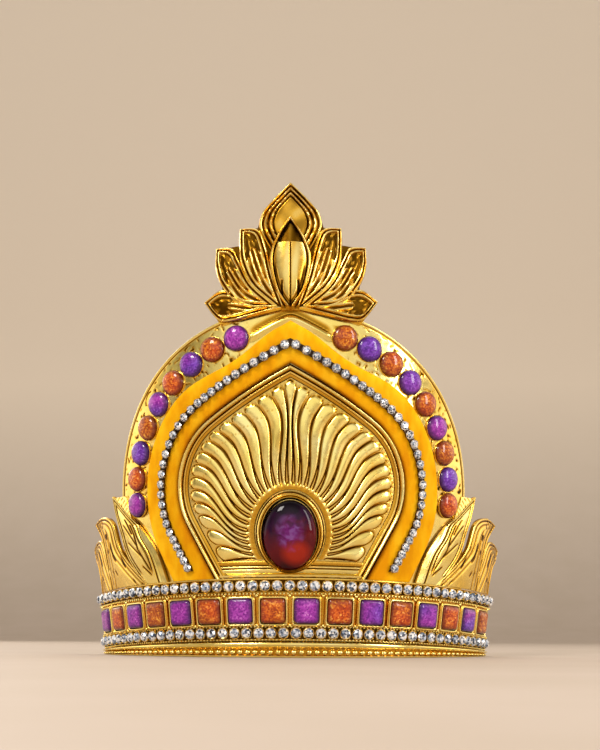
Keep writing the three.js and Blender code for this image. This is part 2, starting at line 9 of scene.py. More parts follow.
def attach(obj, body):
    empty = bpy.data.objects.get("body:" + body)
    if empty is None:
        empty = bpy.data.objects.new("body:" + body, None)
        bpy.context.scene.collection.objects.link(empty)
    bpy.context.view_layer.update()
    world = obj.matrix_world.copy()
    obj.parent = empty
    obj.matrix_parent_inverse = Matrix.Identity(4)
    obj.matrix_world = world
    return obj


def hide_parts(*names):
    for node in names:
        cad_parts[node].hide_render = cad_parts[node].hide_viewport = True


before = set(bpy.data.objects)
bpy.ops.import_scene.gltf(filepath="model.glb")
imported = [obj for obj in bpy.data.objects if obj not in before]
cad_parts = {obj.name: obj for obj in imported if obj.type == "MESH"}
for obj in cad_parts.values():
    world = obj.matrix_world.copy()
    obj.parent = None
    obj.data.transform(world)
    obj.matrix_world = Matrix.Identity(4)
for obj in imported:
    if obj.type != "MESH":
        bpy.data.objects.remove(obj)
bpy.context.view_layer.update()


# The sheet: thin brass, pressed, gold plated and bent round the front of the head. Its margin is
# chased with short scrolls, its edge is rolled, and a cup is soldered on for each round stone.
# Sizes are in millimetres, on the sheet laid flat: u along it, z up it and d out of it.
MM = 0.001
RIM_RADIUS = 76.0  # front of the sheet at its foot
FLARE = 0.13  # it leans out by this much for each millimetre of height
END_DROP = 5.8  # its rows fall this far over a quarter turn
AXIS_Y = 62.3405  # the axis that it is bent round lies behind the origin
BAND_HALF_ANGLE = radians(67)
BAND_TOP = 26.2
SHEET_THICK = 1.0
SHEET_FOOT = 0.4
ARCH_HALF_WIDTH = 70.5
ARCH_SPRING = 58.8
ARCH_RISE = 59.5
TONGUE_HALF_WIDTH = 8.0
TONGUE_TOP = 133.0


def lerp(first, last, share):
    return first + (last - first) * share


def smooth(share):
    """0 up to 1, with no corner at either end."""
    share = min(1.0, max(0.0, share))
    return share * share * (3 - 2 * share)


def ridge(distance, width):
    """1 on a line, falling off to 0 a few widths away."""
    return exp(-(distance / width) ** 2)


def radius_at(z):
    return RIM_RADIUS + FLARE * z


def drop_at(angle):
    return END_DROP * (1 - cos(angle))


def bent(u, z, d):
    """The place of a flat point on the bent crown, in metres."""
    radius = radius_at(z)
    angle = u / radius
    x, y = (radius + d) * sin(angle), AXIS_Y - (radius + d) * cos(angle)
    return MM * Vector((x, y, z - drop_at(angle)))


def seat(u, z, d):
    """The seat of a small shape in millimetres: x along the face, y up it and z out of it."""
    radius = radius_at(z)
    angle = u / radius
    along = Vector((cos(angle), sin(angle), -END_DROP / radius * sin(angle))).normalized()
    lean = Vector((FLARE * sin(angle), -FLARE * cos(angle), 1))
    out = along.cross(lean).normalized()
    turn = Matrix((along, out.cross(along), out)).transposed().to_4x4()
    return Matrix.Translation(bent(u, z, d)) @ turn @ Matrix.Scale(MM, 4)


def new_shape():
    """An empty mesh whose points carry a recess, from 0 on the high spots to 1 in the grooves: the materials
    paint shade by it.
    """
    shape = bmesh.new()
    shape.verts.layers.float.new("recess")
    return shape


def add_wall(shape, columns, rows, place):
    """A closed wall grown from a grid. place gives u, z, d and the recess for a share along the
    grid, a share across it and whether the point is on the wall's front."""
    recess = shape.verts.layers.float["recess"]
    back = bmesh.ops.create_grid(shape, x_segments=columns, y_segments=rows, size=0.5)["verts"]
    faces = list({face for vert in back for face in vert.link_faces})
    grown = bmesh.ops.extrude_face_region(shape, geom=faces)["geom"]
    front = [item for item in grown if isinstance(item, bmesh.types.BMVert)]
    for verts, is_front in ((back, False), (front, True)):
        for vert in verts:
            u, z, d, depth = place(vert.co.x + 0.5, vert.co.y + 0.5, is_front)
            vert.co = bent(u, z, d)
            vert[recess] = min(1.0, max(0.0, depth))


def turned(profile, steps, closed=False):
    """A small shape turned about z from a profile of radii and heights, and recesses where it has any."""
    shape = new_shape()
    recess = shape.verts.layers.float["recess"]
    verts = []
    for radius, height, *depth in profile:
        verts.append(shape.verts.new((radius, 0, height)))
        verts[-1][recess] = sum(depth)
    ends = verts[1:] + verts[:1] if closed else verts[1:]
    edges = [shape.edges.new(pair) for pair in zip(verts, ends)]
    bmesh.ops.spin(
        shape, geom=verts + edges, cent=(0, 0, 0), axis=(0, 0, 1), angle=2 * pi, steps=steps, use_merge=True)
    bmesh.ops.remove_doubles(shape, verts=shape.verts, dist=1e-4)
    return shape


def add_copies(shape, small, seats):
    """Puts a copy of a small shape on each seat."""
    model = bpy.data.meshes.new("small_shape")
    small.to_mesh(model)
    small.free()
    for matrix in seats:
        start = len(shape.verts)
        shape.from_mesh(model)
        shape.verts.ensure_lookup_table()
        bmesh.ops.transform(shape, matrix=matrix, verts=shape.verts[start:])
    bpy.data.meshes.remove(model)


def make_piece(name, shape, materials, nodes, sharp=40):
    """The finished piece: faces out, smooth up to the sharp angle, in place of its CAD nodes."""
    bmesh.ops.recalc_face_normals(shape, faces=shape.faces)
    mesh = bpy.data.meshes.new(name)
    shape.to_mesh(mesh)
    shape.free()
    for material in materials:
        mesh.materials.append(material)
    mesh.shade_smooth()
    mesh.set_sharp_from_angle(angle=radians(sharp))
    piece = bpy.data.objects.new(name, mesh)
    bpy.context.scene.collection.objects.link(piece)
    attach(piece, "root")
    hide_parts(*nodes)
    return piece


def linear(colour):
    """The linear value of an sRGB hex colour."""
    channels = [int(colour[i:i + 2], 16) / 255 for i in (0, 2, 4)]
    return [c / 12.92 if c <= 0.04045 else ((c + 0.055) / 1.055) ** 2.4 for c in channels] + [1.0]


def add_node(tree, kind, inputs=(), stops=(), **settings):
    """A node with its settings, its colour stops, and its inputs set to values or linked to outputs."""
    made = tree.nodes.new(kind)
    for name, value in settings.items():
        setattr(made, name, value)
    for socket, value in dict(inputs).items():
        if isinstance(value, bpy.types.NodeSocket):
            tree.links.new(value, made.inputs[socket])
        else:
            made.inputs[socket].default_value = value
    for i, (position, colour) in enumerate(stops):
        elements = made.color_ramp.elements
        element = elements[i] if i < len(elements) else elements.new(position)
        element.position, element.color = position, linear(colour)
    return made


def new_material(name, **values):
    """A material with its constant values on the shader's own sockets."""
    material = bpy.data.materials.new(name)
    material.use_nodes = True
    shader = material.node_tree.nodes["Principled BSDF"]
    for socket, value in values.items():
        shader.inputs[socket.replace("_", " ")].default_value = value
    return material, material.node_tree, shader


# Gold plating on pressed brass: bright and smooth, with slow changes of tone, a faint ripple from
# the press, orange where one wall mirrors another, and dark lines of painted shade in the grooves.
gold, tree, shader = new_material("gold_plated_brass", Metallic=1.0)
spot = add_node(tree, "ShaderNodeTexCoord").outputs["Object"]
tone = add_node(tree, "ShaderNodeTexNoise", {"Vector": spot, "Scale": 1 / (11 * MM), "Detail": 2.0})
grain = add_node(tree, "ShaderNodeTexNoise", {"Vector": spot, "Scale": 1 / (1.6 * MM), "Detail": 3.0})
recess = add_node(tree, "ShaderNodeAttribute", attribute_name="recess").outputs["Fac"]
plating = add_node(
    tree, "ShaderNodeValToRGB", {"Fac": tone.outputs["Fac"]},
    stops=[(0.32, "F4D872"), (0.5, "FAE388"), (0.68, "FDEDA0")])
# Painted shade: the recess darkens the plating through orange to dark brown.
painted_shade = add_node(
    tree, "ShaderNodeValToRGB", {"Fac": recess},
    stops=[(0.0, "FFFFFF"), (0.35, "DEB868"), (0.7, "70541E"), (1.0, "2A1806")])
# The plating's tones with the painted shade multiplied in.
coat = add_node(
    tree, "ShaderNodeMix", {0: 1.0, 6: plating.outputs["Color"], 7: painted_shade.outputs["Color"]},
    data_type="RGBA", blend_type="MULTIPLY")
polish = add_node(
    tree, "ShaderNodeMapRange",
    {"Value": grain.outputs["Fac"], "From Min": 0.3, "From Max": 0.7, "To Min": 0.12, "To Max": 0.24})
dulled = add_node(
    tree, "ShaderNodeMath", {0: recess, 1: 0.25, 2: polish.outputs["Result"]}, operation="MULTIPLY_ADD")
ripple = add_node(
    tree, "ShaderNodeBump", {"Height": grain.outputs["Fac"], "Strength": 0.25, "Distance": 0.04 * MM})
tree.links.new(coat.outputs[2], shader.inputs["Base Color"])
tree.links.new(dulled.outputs["Value"], shader.inputs["Roughness"])
tree.links.new(ripple.outputs["Normal"], shader.inputs["Normal"])


def sheet_top(u):
    if abs(u) <= TONGUE_HALF_WIDTH:
        return TONGUE_TOP
    if abs(u) > ARCH_HALF_WIDTH:
        return BAND_TOP
    return ARCH_SPRING + ARCH_RISE * sqrt(1 - (u / ARCH_HALF_WIDTH) ** 2)


ARCH_COLUMNS = 44
FIRST_COLUMN = 6  # those before it would lie inside the tongue
BELT_COLUMNS = 10
COLUMN_STEP = 0.05
SHEET_ROWS = 10
belt_end = BAND_HALF_ANGLE * radius_at(BAND_TOP)
half_columns = [TONGUE_HALF_WIDTH / 2, TONGUE_HALF_WIDTH, TONGUE_HALF_WIDTH + COLUMN_STEP]
for i in range(FIRST_COLUMN, ARCH_COLUMNS + 1):
    half_columns.append(ARCH_HALF_WIDTH * sin(pi / 2 * i / ARCH_COLUMNS))
half_columns.append(ARCH_HALF_WIDTH + COLUMN_STEP)
for i in range(1, BELT_COLUMNS + 1):
    half_columns.append(lerp(ARCH_HALF_WIDTH, belt_end, i / BELT_COLUMNS))
sheet_columns = [-u for u in reversed(half_columns)] + [0.0] + half_columns


def pick(items, share):
    """The item that lies a share of the way along a list."""
    return items[round(share * (len(items) - 1))]


def plain_sheet(along, across, is_front):
    u = pick(sheet_columns, along)
    top = sheet_top(u)
    angle = u / radius_at(top)
    z = lerp(SHEET_FOOT + drop_at(angle), top, across)
    return angle * radius_at(z), z, 0.0 if is_front else -SHEET_THICK, 0.0


MARGIN_TURN = radians(96)  # the worked margin runs this far to each side of the top
MARGIN_WIDTH = 17.0
MARGIN_GRID = (520, 44)  # columns along it and rows across it
EDGE_BEAD = 0.45  # radius of the rolled edge
EDGE_GROOVE = 2.6 * EDGE_BEAD  # a groove runs inside it, this far from the edge
COLLAR_APEX = 114.3  # a smooth collar rises over the point of the velvet
COLLAR_SLOPE = 0.54
COLLAR_ROUND = 2.4
COLLAR_REACH = 15  # to each side of the middle
# Out from here the margin is darker and rougher.
DARKER_FROM = 45  # the margin grows duller from here
DARKER_OVER = 10  # over this distance


def worked_margin(along, across, is_front):
    turn = lerp(-MARGIN_TURN, MARGIN_TURN, along)
    inwards = Vector((-ARCH_RISE * sin(turn), -ARCH_HALF_WIDTH * cos(turn))).normalized()
    width = MARGIN_WIDTH * across ** 1.4
    u = ARCH_HALF_WIDTH * sin(turn) + inwards.x * width
    z = ARCH_SPRING + ARCH_RISE * cos(turn) + inwards.y * width
    if not is_front:
        return u, z, -SHEET_THICK / 2, 0.0
    if width < 2 * EDGE_BEAD:
        return u, z, 0.1 + EDGE_BEAD * sqrt(max(0.0, 1 - (width / EDGE_BEAD - 1) ** 2)), 0.0
    line = ridge(noise.noise((0.34 * u, 0.34 * z, 3.0)), 0.07)
    broken = smooth((noise.noise((0.55 * u, 0.55 * z, 9.0)) + 0.02) / 0.15)
    scroll = line * broken * smooth((width - 1.4) / 0.6) * smooth((abs(u) - 14) / 3)
    dent = noise.noise((0.4 * u, 0.4 * z, 7.0))
    groove = ridge(width - EDGE_GROOVE, 0.25)
    above = z - COLLAR_APEX + COLLAR_SLOPE * hypot(u, COLLAR_ROUND)
    near_top = smooth((COLLAR_REACH - abs(u)) / 3)
    collar = near_top * ridge(above - 1.0, 0.9)
    shadow = near_top * (
        ridge(above - 2.5, 0.35) + 0.6 * smooth((above - 2.9) / 0.3) * smooth((5.5 - above) / 2))
    swell = 0.2 + 0.04 * min(width, 9) + 0.03 * dent
    d = swell - 0.16 * scroll - 0.12 * groove + 0.5 * collar - 0.12 * shadow
    extra_darkness = 0.15 * smooth((abs(u) - DARKER_FROM) / DARKER_OVER)
    # The recess paints shade in the groove inside the rolled edge and in the scroll lines, and a painted
    # shadow under the lotus.
    return u, z, max(0.02, d), 0.8 * groove + scroll + 0.95 * shadow + extra_darkness


ROUND_COUNT = 9
ROUND_PITCH = 9.1
ROUND_ROW_HALF_WIDTH = 60.3
ROUND_ROW_RISE = 51.7
ROUND_ROW_START = 18.6
ROUND_ROW_STEP = 0.0005  # in radians, for finding the next place
ROUND_STEPS = 32
# The recess paints shade on the cups: dark in their floors, light on their rims.
CUP_PROFILE = [  # radius, height and recess
    (0, -0.5, 1.0), (4.5, -0.5, 1.0), (4.62, 0.0, 0.9), (4.62, 0.7, 0.1), (4.59, 1.0, 0.0),
    (4.55, 1.06, 0.0), (4.5, 0.95, 0.2), (4.47, 0.45, 0.8), (0, 0.45, 0.8)]


def round_row(side):
    """The flat places of the round stones down one side, from the top."""
    def on_row(turn):
        return Vector((side * ROUND_ROW_HALF_WIDTH * sin(turn), ARCH_SPRING + ROUND_ROW_RISE * cos(turn)))
    places = []
    turn = atan2(ROUND_ROW_START, sqrt(ROUND_ROW_HALF_WIDTH ** 2 - ROUND_ROW_START ** 2))
    while len(places) < ROUND_COUNT:
        places.append(on_row(turn))
        while (on_row(turn) - places[-1]).length < ROUND_PITCH:
            turn += ROUND_ROW_STEP
    return places


sheet = new_shape()
add_wall(sheet, len(sheet_columns) - 1, SHEET_ROWS, plain_sheet)
add_wall(sheet, *MARGIN_GRID, worked_margin)
cup_seats = [seat(u, z, 0) for side in (-1, 1) for u, z in round_row(side)]
add_copies(sheet, turned(CUP_PROFILE, ROUND_STEPS), cup_seats)
make_piece("gilt_sheet", sheet, [gold], ["face_sheet"])


# The rim: a brass strip rolled along the foot, which the crown stands on. From the top it has a
# smooth roll, a row of beads between two fine lines and a plain edge.
RIM_TOP = 5.6
RIM_BACK = 0.3
# The recess paints shade in the channel behind the beads, in the fine line under the roll and at the top
# edge.
RIM_PROFILE = [  # share of its height, front and recess
    (0.0, 2.3, 0.0), (0.03, 2.6, 0.0), (0.12, 2.65, 0.0), (0.15, 2.2, 0.35), (0.18, 1.8, 0.4),
    (0.48, 1.8, 0.4), (0.52, 2.2, 0.4), (0.55, 2.3, 0.1), (0.58, 2.1, 0.6), (0.61, 2.4, 0.2),
    (0.66, 2.75, 0.0), (0.72, 2.95, 0.0), (0.78, 3.0, 0.0), (0.85, 2.92, 0.0), (0.91, 2.65, 0.1),
    (0.96, 2.2, 0.2), (1.0, 1.6, 0.5)]
RIM_COLUMNS = 180
RIM_BEADS = 70
RIM_BEAD_ROW = 0.33  # share of the rim's height
RIM_BEAD_FRONT = 2.2
RIM_BEAD_SIZE = (1.12, 0.92, 0.9)  # half its length along the rim, up it and out of it


def rim_wall(along, across, is_front):
    share, front, depth = pick(RIM_PROFILE, across)
    angle = lerp(-BAND_HALF_ANGLE, BAND_HALF_ANGLE, along)
    z = lerp(drop_at(angle), RIM_TOP, share)
    return angle * radius_at(z), z, front if is_front else RIM_BACK, depth if is_front else 0.0


rim = new_shape()
add_wall(rim, RIM_COLUMNS, len(RIM_PROFILE) - 1, rim_wall)
for i in range(RIM_BEADS):
    angle = lerp(-BAND_HALF_ANGLE, BAND_HALF_ANGLE, (i + 0.5) / RIM_BEADS)
    z = lerp(drop_at(angle), RIM_TOP, RIM_BEAD_ROW)
    size = (RIM_TOP - drop_at(angle)) / RIM_TOP
    half_length, half_height, half_depth = RIM_BEAD_SIZE
    squeeze = Matrix.Diagonal((half_length, half_height * size, half_depth, 1))
    place = seat(angle * radius_at(z), z, RIM_BEAD_FRONT) @ squeeze
    bmesh.ops.create_uvsphere(rim, u_segments=8, v_segments=5, radius=1.0, matrix=place)
make_piece("beaded_rim", rim, [gold], ["base_rim"])


# The band: a brass strip over the foot of the sheet, in a flat for each square stone. A raised frame
# is soldered on each flat, with a ball at each corner and fine beading along both edges.
BAND_FOOT = 5.9
BAND_BACK = 0.45
BAND_FRONT = 1.5
# The band's ground between the frames is painted darker with shade.
BAND_RECESS = 0.34
SQUARE_COUNT = 16
SQUARE_PITCH = radians(8)
SQUARE_ROW = 15.7
SQUARE_STEPS = 40
FRAME_FRONT = 3.1
FRAME_SINK = 0.5  # the frames go this far into the flats
FRAME_CORNER = 14  # how square they are
FLAT_DIP = radius_at(SQUARE_ROW) * (1 - cos(SQUARE_PITCH / 2))
CORNER_BALL = 0.6
CORNER_RISE = 4.9  # the balls lie this far above and below the row
CORNER_FRONT = 2.5
BEADING = [(5.98, 1.9, 0.42), (10.35, 2.2, 0.45), (21.3, 2.2, 0.5)]  # height, place and radius of its beads
BEADING_COUNT = 150


def square_angle(i):
    return (i - (SQUARE_COUNT - 1) / 2) * SQUARE_PITCH


square_places = [square_angle(i) * radius_at(SQUARE_ROW) for i in range(SQUARE_COUNT)]
fold_angles = [square_angle(i - 0.5) for i in range(SQUARE_COUNT + 1)]
band_angles = [-BAND_HALF_ANGLE] + fold_angles + [BAND_HALF_ANGLE]


def band_wall(along, across, is_front):
    angle = pick(band_angles, along)
    z = lerp(BAND_FOOT, BAND_TOP, across)
    return angle * radius_at(z), z, BAND_FRONT if is_front else BAND_BACK, BAND_RECESS if is_front else 0.0


def squared(shape, power):
    """Turns a round shape square: a high power gives tight corners."""
    for vert in shape.verts:
        radius = hypot(vert.co.x, vert.co.y)
        if radius > 0:
            spread = abs(vert.co.x / radius) ** power + abs(vert.co.y / radius) ** power
            vert.co.xy *= spread ** (-1 / power)
    return shape


frame_back = BAND_FRONT - FLAT_DIP - FRAME_SINK
lip = FRAME_FRONT - frame_back
# The recess paints shade on the frames' walls and inside their lips.
frame_profile = [  # half width, height and recess
    (4.32, 0, 0.9), (5.2, 0, 0.5), (5.2, lip - 0.7, 0.3), (5.1, lip - 0.45, 0.25), (4.85, lip - 0.3, 0.3),
    (4.78, lip - 0.06, 0.0), (4.66, lip, 0.0), (4.5, lip, 0.0), (4.4, lip - 0.08, 0.1),
    (4.32, lip - 0.4, 0.7)]
band = new_shape()
add_wall(band, len(band_angles) - 1, 1, band_wall)
frame_seats = [seat(u, SQUARE_ROW, frame_back) for u in square_places]
add_copies(band, squared(turned(frame_profile, SQUARE_STEPS, closed=True), FRAME_CORNER), frame_seats)
for angle in fold_angles:
    for z in (SQUARE_ROW - CORNER_RISE, SQUARE_ROW + CORNER_RISE):
        place = seat(angle * radius_at(z), z, CORNER_FRONT)
        bmesh.ops.create_uvsphere(band, u_segments=8, v_segments=5, radius=CORNER_BALL, matrix=place)
for z, d, radius in BEADING:
    for i in range(BEADING_COUNT):
        angle = lerp(-BAND_HALF_ANGLE, BAND_HALF_ANGLE, (i + 0.5) / BEADING_COUNT)
        place = seat(angle * radius_at(z), z, d)
        bmesh.ops.create_uvsphere(band, u_segments=6, v_segments=4, radius=radius, matrix=place)
make_piece("stone_band", band, [gold], ["base_band"])


# The square stones: moulded resin with a soft bevelled edge, glued into the frames, violet and amber
# in turn. Flakes of foil in the resin glitter under its clear face.
# The recess paints shade from the frame on the stones' bevels and sides.
SQUARE_PROFILE = [  # half width, height and recess
    (0, 0, 1.0), (4.2, 0, 1.0), (4.2, 1.2, 0.95), (4.12, 1.6, 0.85), (3.88, 1.95, 0.75), (3.5, 2.2, 0.5),
    (3.0, 2.34, 0.2), (2.0, 2.41, 0.0), (1.0, 2.44, 0.0), (0, 2.45, 0.0)]
SQUARE_SEAT = BAND_FRONT - FLAT_DIP + 0.3
SQUARE_CORNER = 8  # how square they are, rounder than their frames


def glitter_resin(name, cool, warm, edge):
    """Clear resin over foil flakes: each flake has its own tone and tilt, the colour drifts slowly
    from stone to stone, and the edges are darker with painted shade."""
    material, tree, shader = new_material(
        name, Roughness=0.38, Specular_IOR_Level=0.1, Coat_Weight=0.8, Coat_Roughness=0.04, Coat_IOR=1.5)
    spot = add_node(tree, "ShaderNodeTexCoord").outputs["Object"]
    flakes = add_node(tree, "ShaderNodeTexVoronoi", {"Vector": spot, "Scale": 1 / (0.55 * MM)})
    cloud = add_node(tree, "ShaderNodeTexNoise", {"Vector": spot, "Scale": 1 / (3 * MM), "Detail": 3.0})
    drift = add_node(tree, "ShaderNodeTexNoise", {"Vector": spot, "Scale": 1 / (14 * MM), "Detail": 0.0})
    shine = add_node(tree, "ShaderNodeSeparateColor", {"Color": flakes.outputs["Color"]})
    milky = add_node(
        tree, "ShaderNodeMath", {0: cloud.outputs["Fac"], 1: 0.6, 2: -0.07}, operation="MULTIPLY_ADD")
    tone = add_node(
        tree, "ShaderNodeMath", {0: shine.outputs["Red"], 1: 0.45, 2: milky.outputs["Value"]},
        operation="MULTIPLY_ADD")
    first = add_node(tree, "ShaderNodeValToRGB", {"Fac": tone.outputs["Value"]}, stops=cool)
    second = add_node(tree, "ShaderNodeValToRGB", {"Fac": tone.outputs["Value"]}, stops=warm)
    share = add_node(
        tree, "ShaderNodeMapRange", {"Value": drift.outputs["Fac"], "From Min": 0.42, "From Max": 0.56})
    colour = add_node(
        tree, "ShaderNodeMix",
        {0: share.outputs["Result"], 6: first.outputs["Color"], 7: second.outputs["Color"]}, data_type="RGBA")
    depth = add_node(tree, "ShaderNodeAttribute", attribute_name="recess").outputs["Fac"]
    # Painted shade: the recess mixes the colour towards the edge colour.
    shaded = add_node(
        tree, "ShaderNodeMix", {0: depth, 6: colour.outputs[2], 7: linear(edge)}, data_type="RGBA")
    tilt = add_node(
        tree, "ShaderNodeBump", {"Height": shine.outputs["Green"], "Strength": 0.5, "Distance": 0.1 * MM})
    tree.links.new(shaded.outputs[2], shader.inputs["Base Color"])
    tree.links.new(tilt.outputs["Normal"], shader.inputs["Normal"])
    return material


# The last colour of each is the painted shade at the stones' edges.
violet = glitter_resin(
    "violet_glitter_resin", [(0.1, "42107C"), (0.4, "6424A0"), (0.65, "8044C4"), (0.9, "B490EC")],
    [(0.1, "5E0A76"), (0.4, "8C2098"), (0.65, "B040B8"), (0.9, "E8A0E4")], "2A0648")
amber = glitter_resin(
    "amber_glitter_resin", [(0.1, "742402"), (0.38, "A64606"), (0.6, "D07412"), (0.85, "FFC850")],
    [(0.1, "7E1C04"), (0.38, "B43C08"), (0.6, "DA6816"), (0.85, "FFBE54")], "5A1402")

resins = ((violet, "violet_stone"), (amber, "amber_stone"))
for i, u in enumerate(square_places):
    stone = new_shape()
    cut = squared(turned(SQUARE_PROFILE, SQUARE_STEPS), SQUARE_CORNER)
    add_copies(stone, cut, [seat(u, SQUARE_ROW, SQUARE_SEAT)])
    finish, slot = resins[i % 2]
    make_piece(f"square_resin_{i + 1:02d}", stone, [finish], [f"square_stone_{i + 1:02d}"])


# The rhinestone chains on the band: cut glass with a foiled back, each stone in a metal cup with four
# prongs. The cups are soldered in a row along a strip, below and above the square stones.
CHAIN_HALF_ANGLE = radians(66.4)
CHAIN_ROWS = [  # piece, node, height and number of stones
    ("lower_rhinestones", "lower_chain", 8.2, 44), ("upper_rhinestones", "upper_chain", 23.9, 45)]
BAND_STONE = (1.9, 1.4)  # radius and height
BAND_STRIP = (1.95, 1.8)  # half width of the strip under the cups, and where its back lies
BAND_SEAT = 2.6  # where the stones' girdles lie
CHAIN_STRIP = 0.5  # thickness of a strip
CUT_RINGS = ((0.84, 0.62), (0.54, 1.0))  # above the girdle, as shares of the radius and the height
SLANT = 0.1  # in radians, the most that a stone leans in its cup
CUP_RISE = 0.25  # the cup's rim stands this far above the girdle
FACET_CELLS = 4000  # to a metre, finer than the facets, so that each facet has a tone of its own
draw = random.Random(4)

# Foiled crystal: clear facets over silvering, each painted light or dark, a painted reflection of the light
# as the cut would send it.
crystal, tree, shader = new_material(
    "foiled_crystal", Metallic=0.45, Roughness=0.06, Coat_Weight=0.5, Coat_Roughness=0.02)
fire = add_node(tree, "ShaderNodeAttribute", attribute_name="fire").outputs["Fac"]
facet = add_node(
    tree, "ShaderNodeValToRGB", {"Fac": fire},
    stops=[(0.0, "1E2632"), (0.28, "6A7A94"), (0.52, "C8D4E6"), (0.8, "FFFFFF")])
tree.links.new(facet.outputs["Color"], shader.inputs["Base Color"])


def cut_stone(radius, height):
    """A round cut: a girdle, two rings of eight kites in halves, and a table of eight facets."""
    shape = new_shape()
    girdle = bmesh.ops.create_circle(shape, cap_ends=False, radius=radius, segments=8)["verts"]
    edges = shape.edges[:]
    turn = Matrix.Rotation(pi / 8, 3, "Z")
    for share, rise in CUT_RINGS:
        grown = bmesh.ops.extrude_edge_only(shape, edges=edges)["geom"]
        ring = [item for item in grown if isinstance(item, bmesh.types.BMVert)]
        edges = [item for item in grown if isinstance(item, bmesh.types.BMEdge)]
        for vert in ring:
            flat = (turn @ Vector((vert.co.x, vert.co.y, 0))).normalized() * radius * share
            vert.co = (flat.x, flat.y, rise * height)
    bmesh.ops.triangulate(shape, faces=shape.faces[:])
    table = bmesh.ops.contextual_create(shape, geom=edges)["faces"]
    bmesh.ops.poke(shape, faces=table)
    bmesh.ops.contextual_create(shape, geom=girdle)
    return shape


def stone_cup(radius, depth):
    """A low metal cup, and four prongs over the stone's edge."""
    low = CHAIN_STRIP * 0.4 - depth
    wide = radius * 1.05
    # The recess paints shade on the cup, darkest low down; the prongs stay bright.
    shape = turned([(0, low, 1.0), (wide, low, 1.0), (wide, CUP_RISE, 0.3), (0, CUP_RISE, 0.6)], 10)
    for i in range(4):
        turn = Matrix.Rotation(pi / 4 + i * pi / 2, 4, "Z")
        prong = turn @ Matrix.Translation((radius * 0.98, 0, CUP_RISE))
        bmesh.ops.create_cone(
            shape, cap_ends=True, segments=5, radius1=0.2 * radius, radius2=0.1 * radius, depth=0.5,
            matrix=prong)
    return shape


def make_chain(name, node, count, stone, strip, seat_front, route, cup_metal):
    """A strip with a cup and a stone for each place along its route."""
    chain = new_shape()
    radius, height = stone
    half_width, back = strip
    # The strip is painted dark with shade.
    add_wall(chain, 2 * count, 1, lambda along, across, is_front: (
        *route(along, lerp(-half_width, half_width, across)), back + CHAIN_STRIP if is_front else back, 0.9))
    places = [seat(*route((i + 0.5) / count, 0), seat_front) for i in range(count)]
    add_copies(chain, stone_cup(radius, seat_front - back), places)
    for face in chain.faces:
        face.material_index = 1
    first_facet = len(chain.faces)
    turns = []
    for matrix in places:
        nod = Matrix.Rotation(draw.uniform(-SLANT, SLANT), 4, "X")
        lean = Matrix.Rotation(draw.uniform(-SLANT, SLANT), 4, "Y")
        turns.append(matrix @ (nod @ lean) @ Matrix.Rotation(draw.uniform(0, 2 * pi), 4, "Z"))
    add_copies(chain, cut_stone(radius, height), turns)
    sparkle = chain.faces.layers.float.new("fire")
    chain.faces.ensure_lookup_table()
    # A painted reflection: each facet gets a light or dark tone of its own.
    for face in chain.faces[first_facet:]:
        face.material_index = 0
        face[sparkle] = 0.5 + 0.5 * noise.cell(FACET_CELLS * face.calc_center_median())
    return make_piece(name, chain, [crystal, cup_metal], [node], sharp=12)


for name, node, row, count in CHAIN_ROWS:
    def along_band(share, across, row=row):
        z = row + across
        return lerp(-CHAIN_HALF_ANGLE, CHAIN_HALF_ANGLE, share) * radius_at(z), z
    make_chain(name, node, count, BAND_STONE, BAND_STRIP, BAND_SEAT, along_band, gold)


# The velvet arch: a strip of yellow velvet cut in the shape of a pointed arch and glued on the sheet.
# Its cut edges are rounded by the pile, and the nap lies in soft patches.
ARCH_APEX = 105.6
APEX_SLOPE = radians(28.5)
ARC_CENTRE = Vector((13.6, 58.9))
ARC_RADIUS = 33.0
ARC_START = radians(55)
ARC_END = radians(-30)
SHOULDER_SHARE = 0.362
ARC_SHARE = 0.465
LEG_SHARE = 1 - SHOULDER_SHARE - ARC_SHARE
UPPER_FOOT = 26.6  # foot of the velvet, the moulding and the leaves, above the band
VELVET_INSIDE = -5.8  # edges of the velvet, from the line of its chain
VELVET_OUTSIDE = 8.4
NARROWING = 3.2  # it is narrower by this much beside the apex
APEX_ROUNDING = 1.0  # and its point is rounded off by this
VELVET_BACK = 0.3
VELVET_EDGE = 1.5
VELVET_CROWN = 1.9
VELVET_GRID = (280, 24)  # columns along it and rows across it


def on_arc(offset, angle):
    return ARC_CENTRE + (ARC_RADIUS + offset) * Vector((cos(angle), sin(angle)))


def leg_at(offset, z):
    start = on_arc(offset, ARC_END)
    return start.x + (start.y - z) * tan(ARC_END)


def pointed_arch(offset, reach, foot):
    """A point of the arch, moved out by offset: reach is -1 at the left foot, 0 at the apex and 1 at
    the right foot. Each side is a curved shoulder, an arc and a straight leg."""
    side, share = (1 if reach >= 0 else -1), abs(reach)
    if share <= SHOULDER_SHARE:
        tip = Vector((0, ARCH_APEX + offset / cos(APEX_SLOPE)))
        end = on_arc(offset, ARC_START)
        fall = tip.y - end.y - end.x * tan(APEX_SLOPE)
        back = fall / (cos(ARC_START) - sin(ARC_START) * tan(APEX_SLOPE))
        bend = end + back * Vector((-sin(ARC_START), cos(ARC_START)))
        t = share / SHOULDER_SHARE
        point = (1 - t) ** 2 * tip + 2 * t * (1 - t) * bend + t * t * end
    elif share <= 1 - LEG_SHARE:
        point = on_arc(offset, lerp(ARC_START, ARC_END, (share - SHOULDER_SHARE) / ARC_SHARE))
    else:
        z = lerp(on_arc(offset, ARC_END).y, foot, 1 - (1 - share) / LEG_SHARE)
        point = Vector((leg_at(offset, z), z))
    return side * point.x, point.y


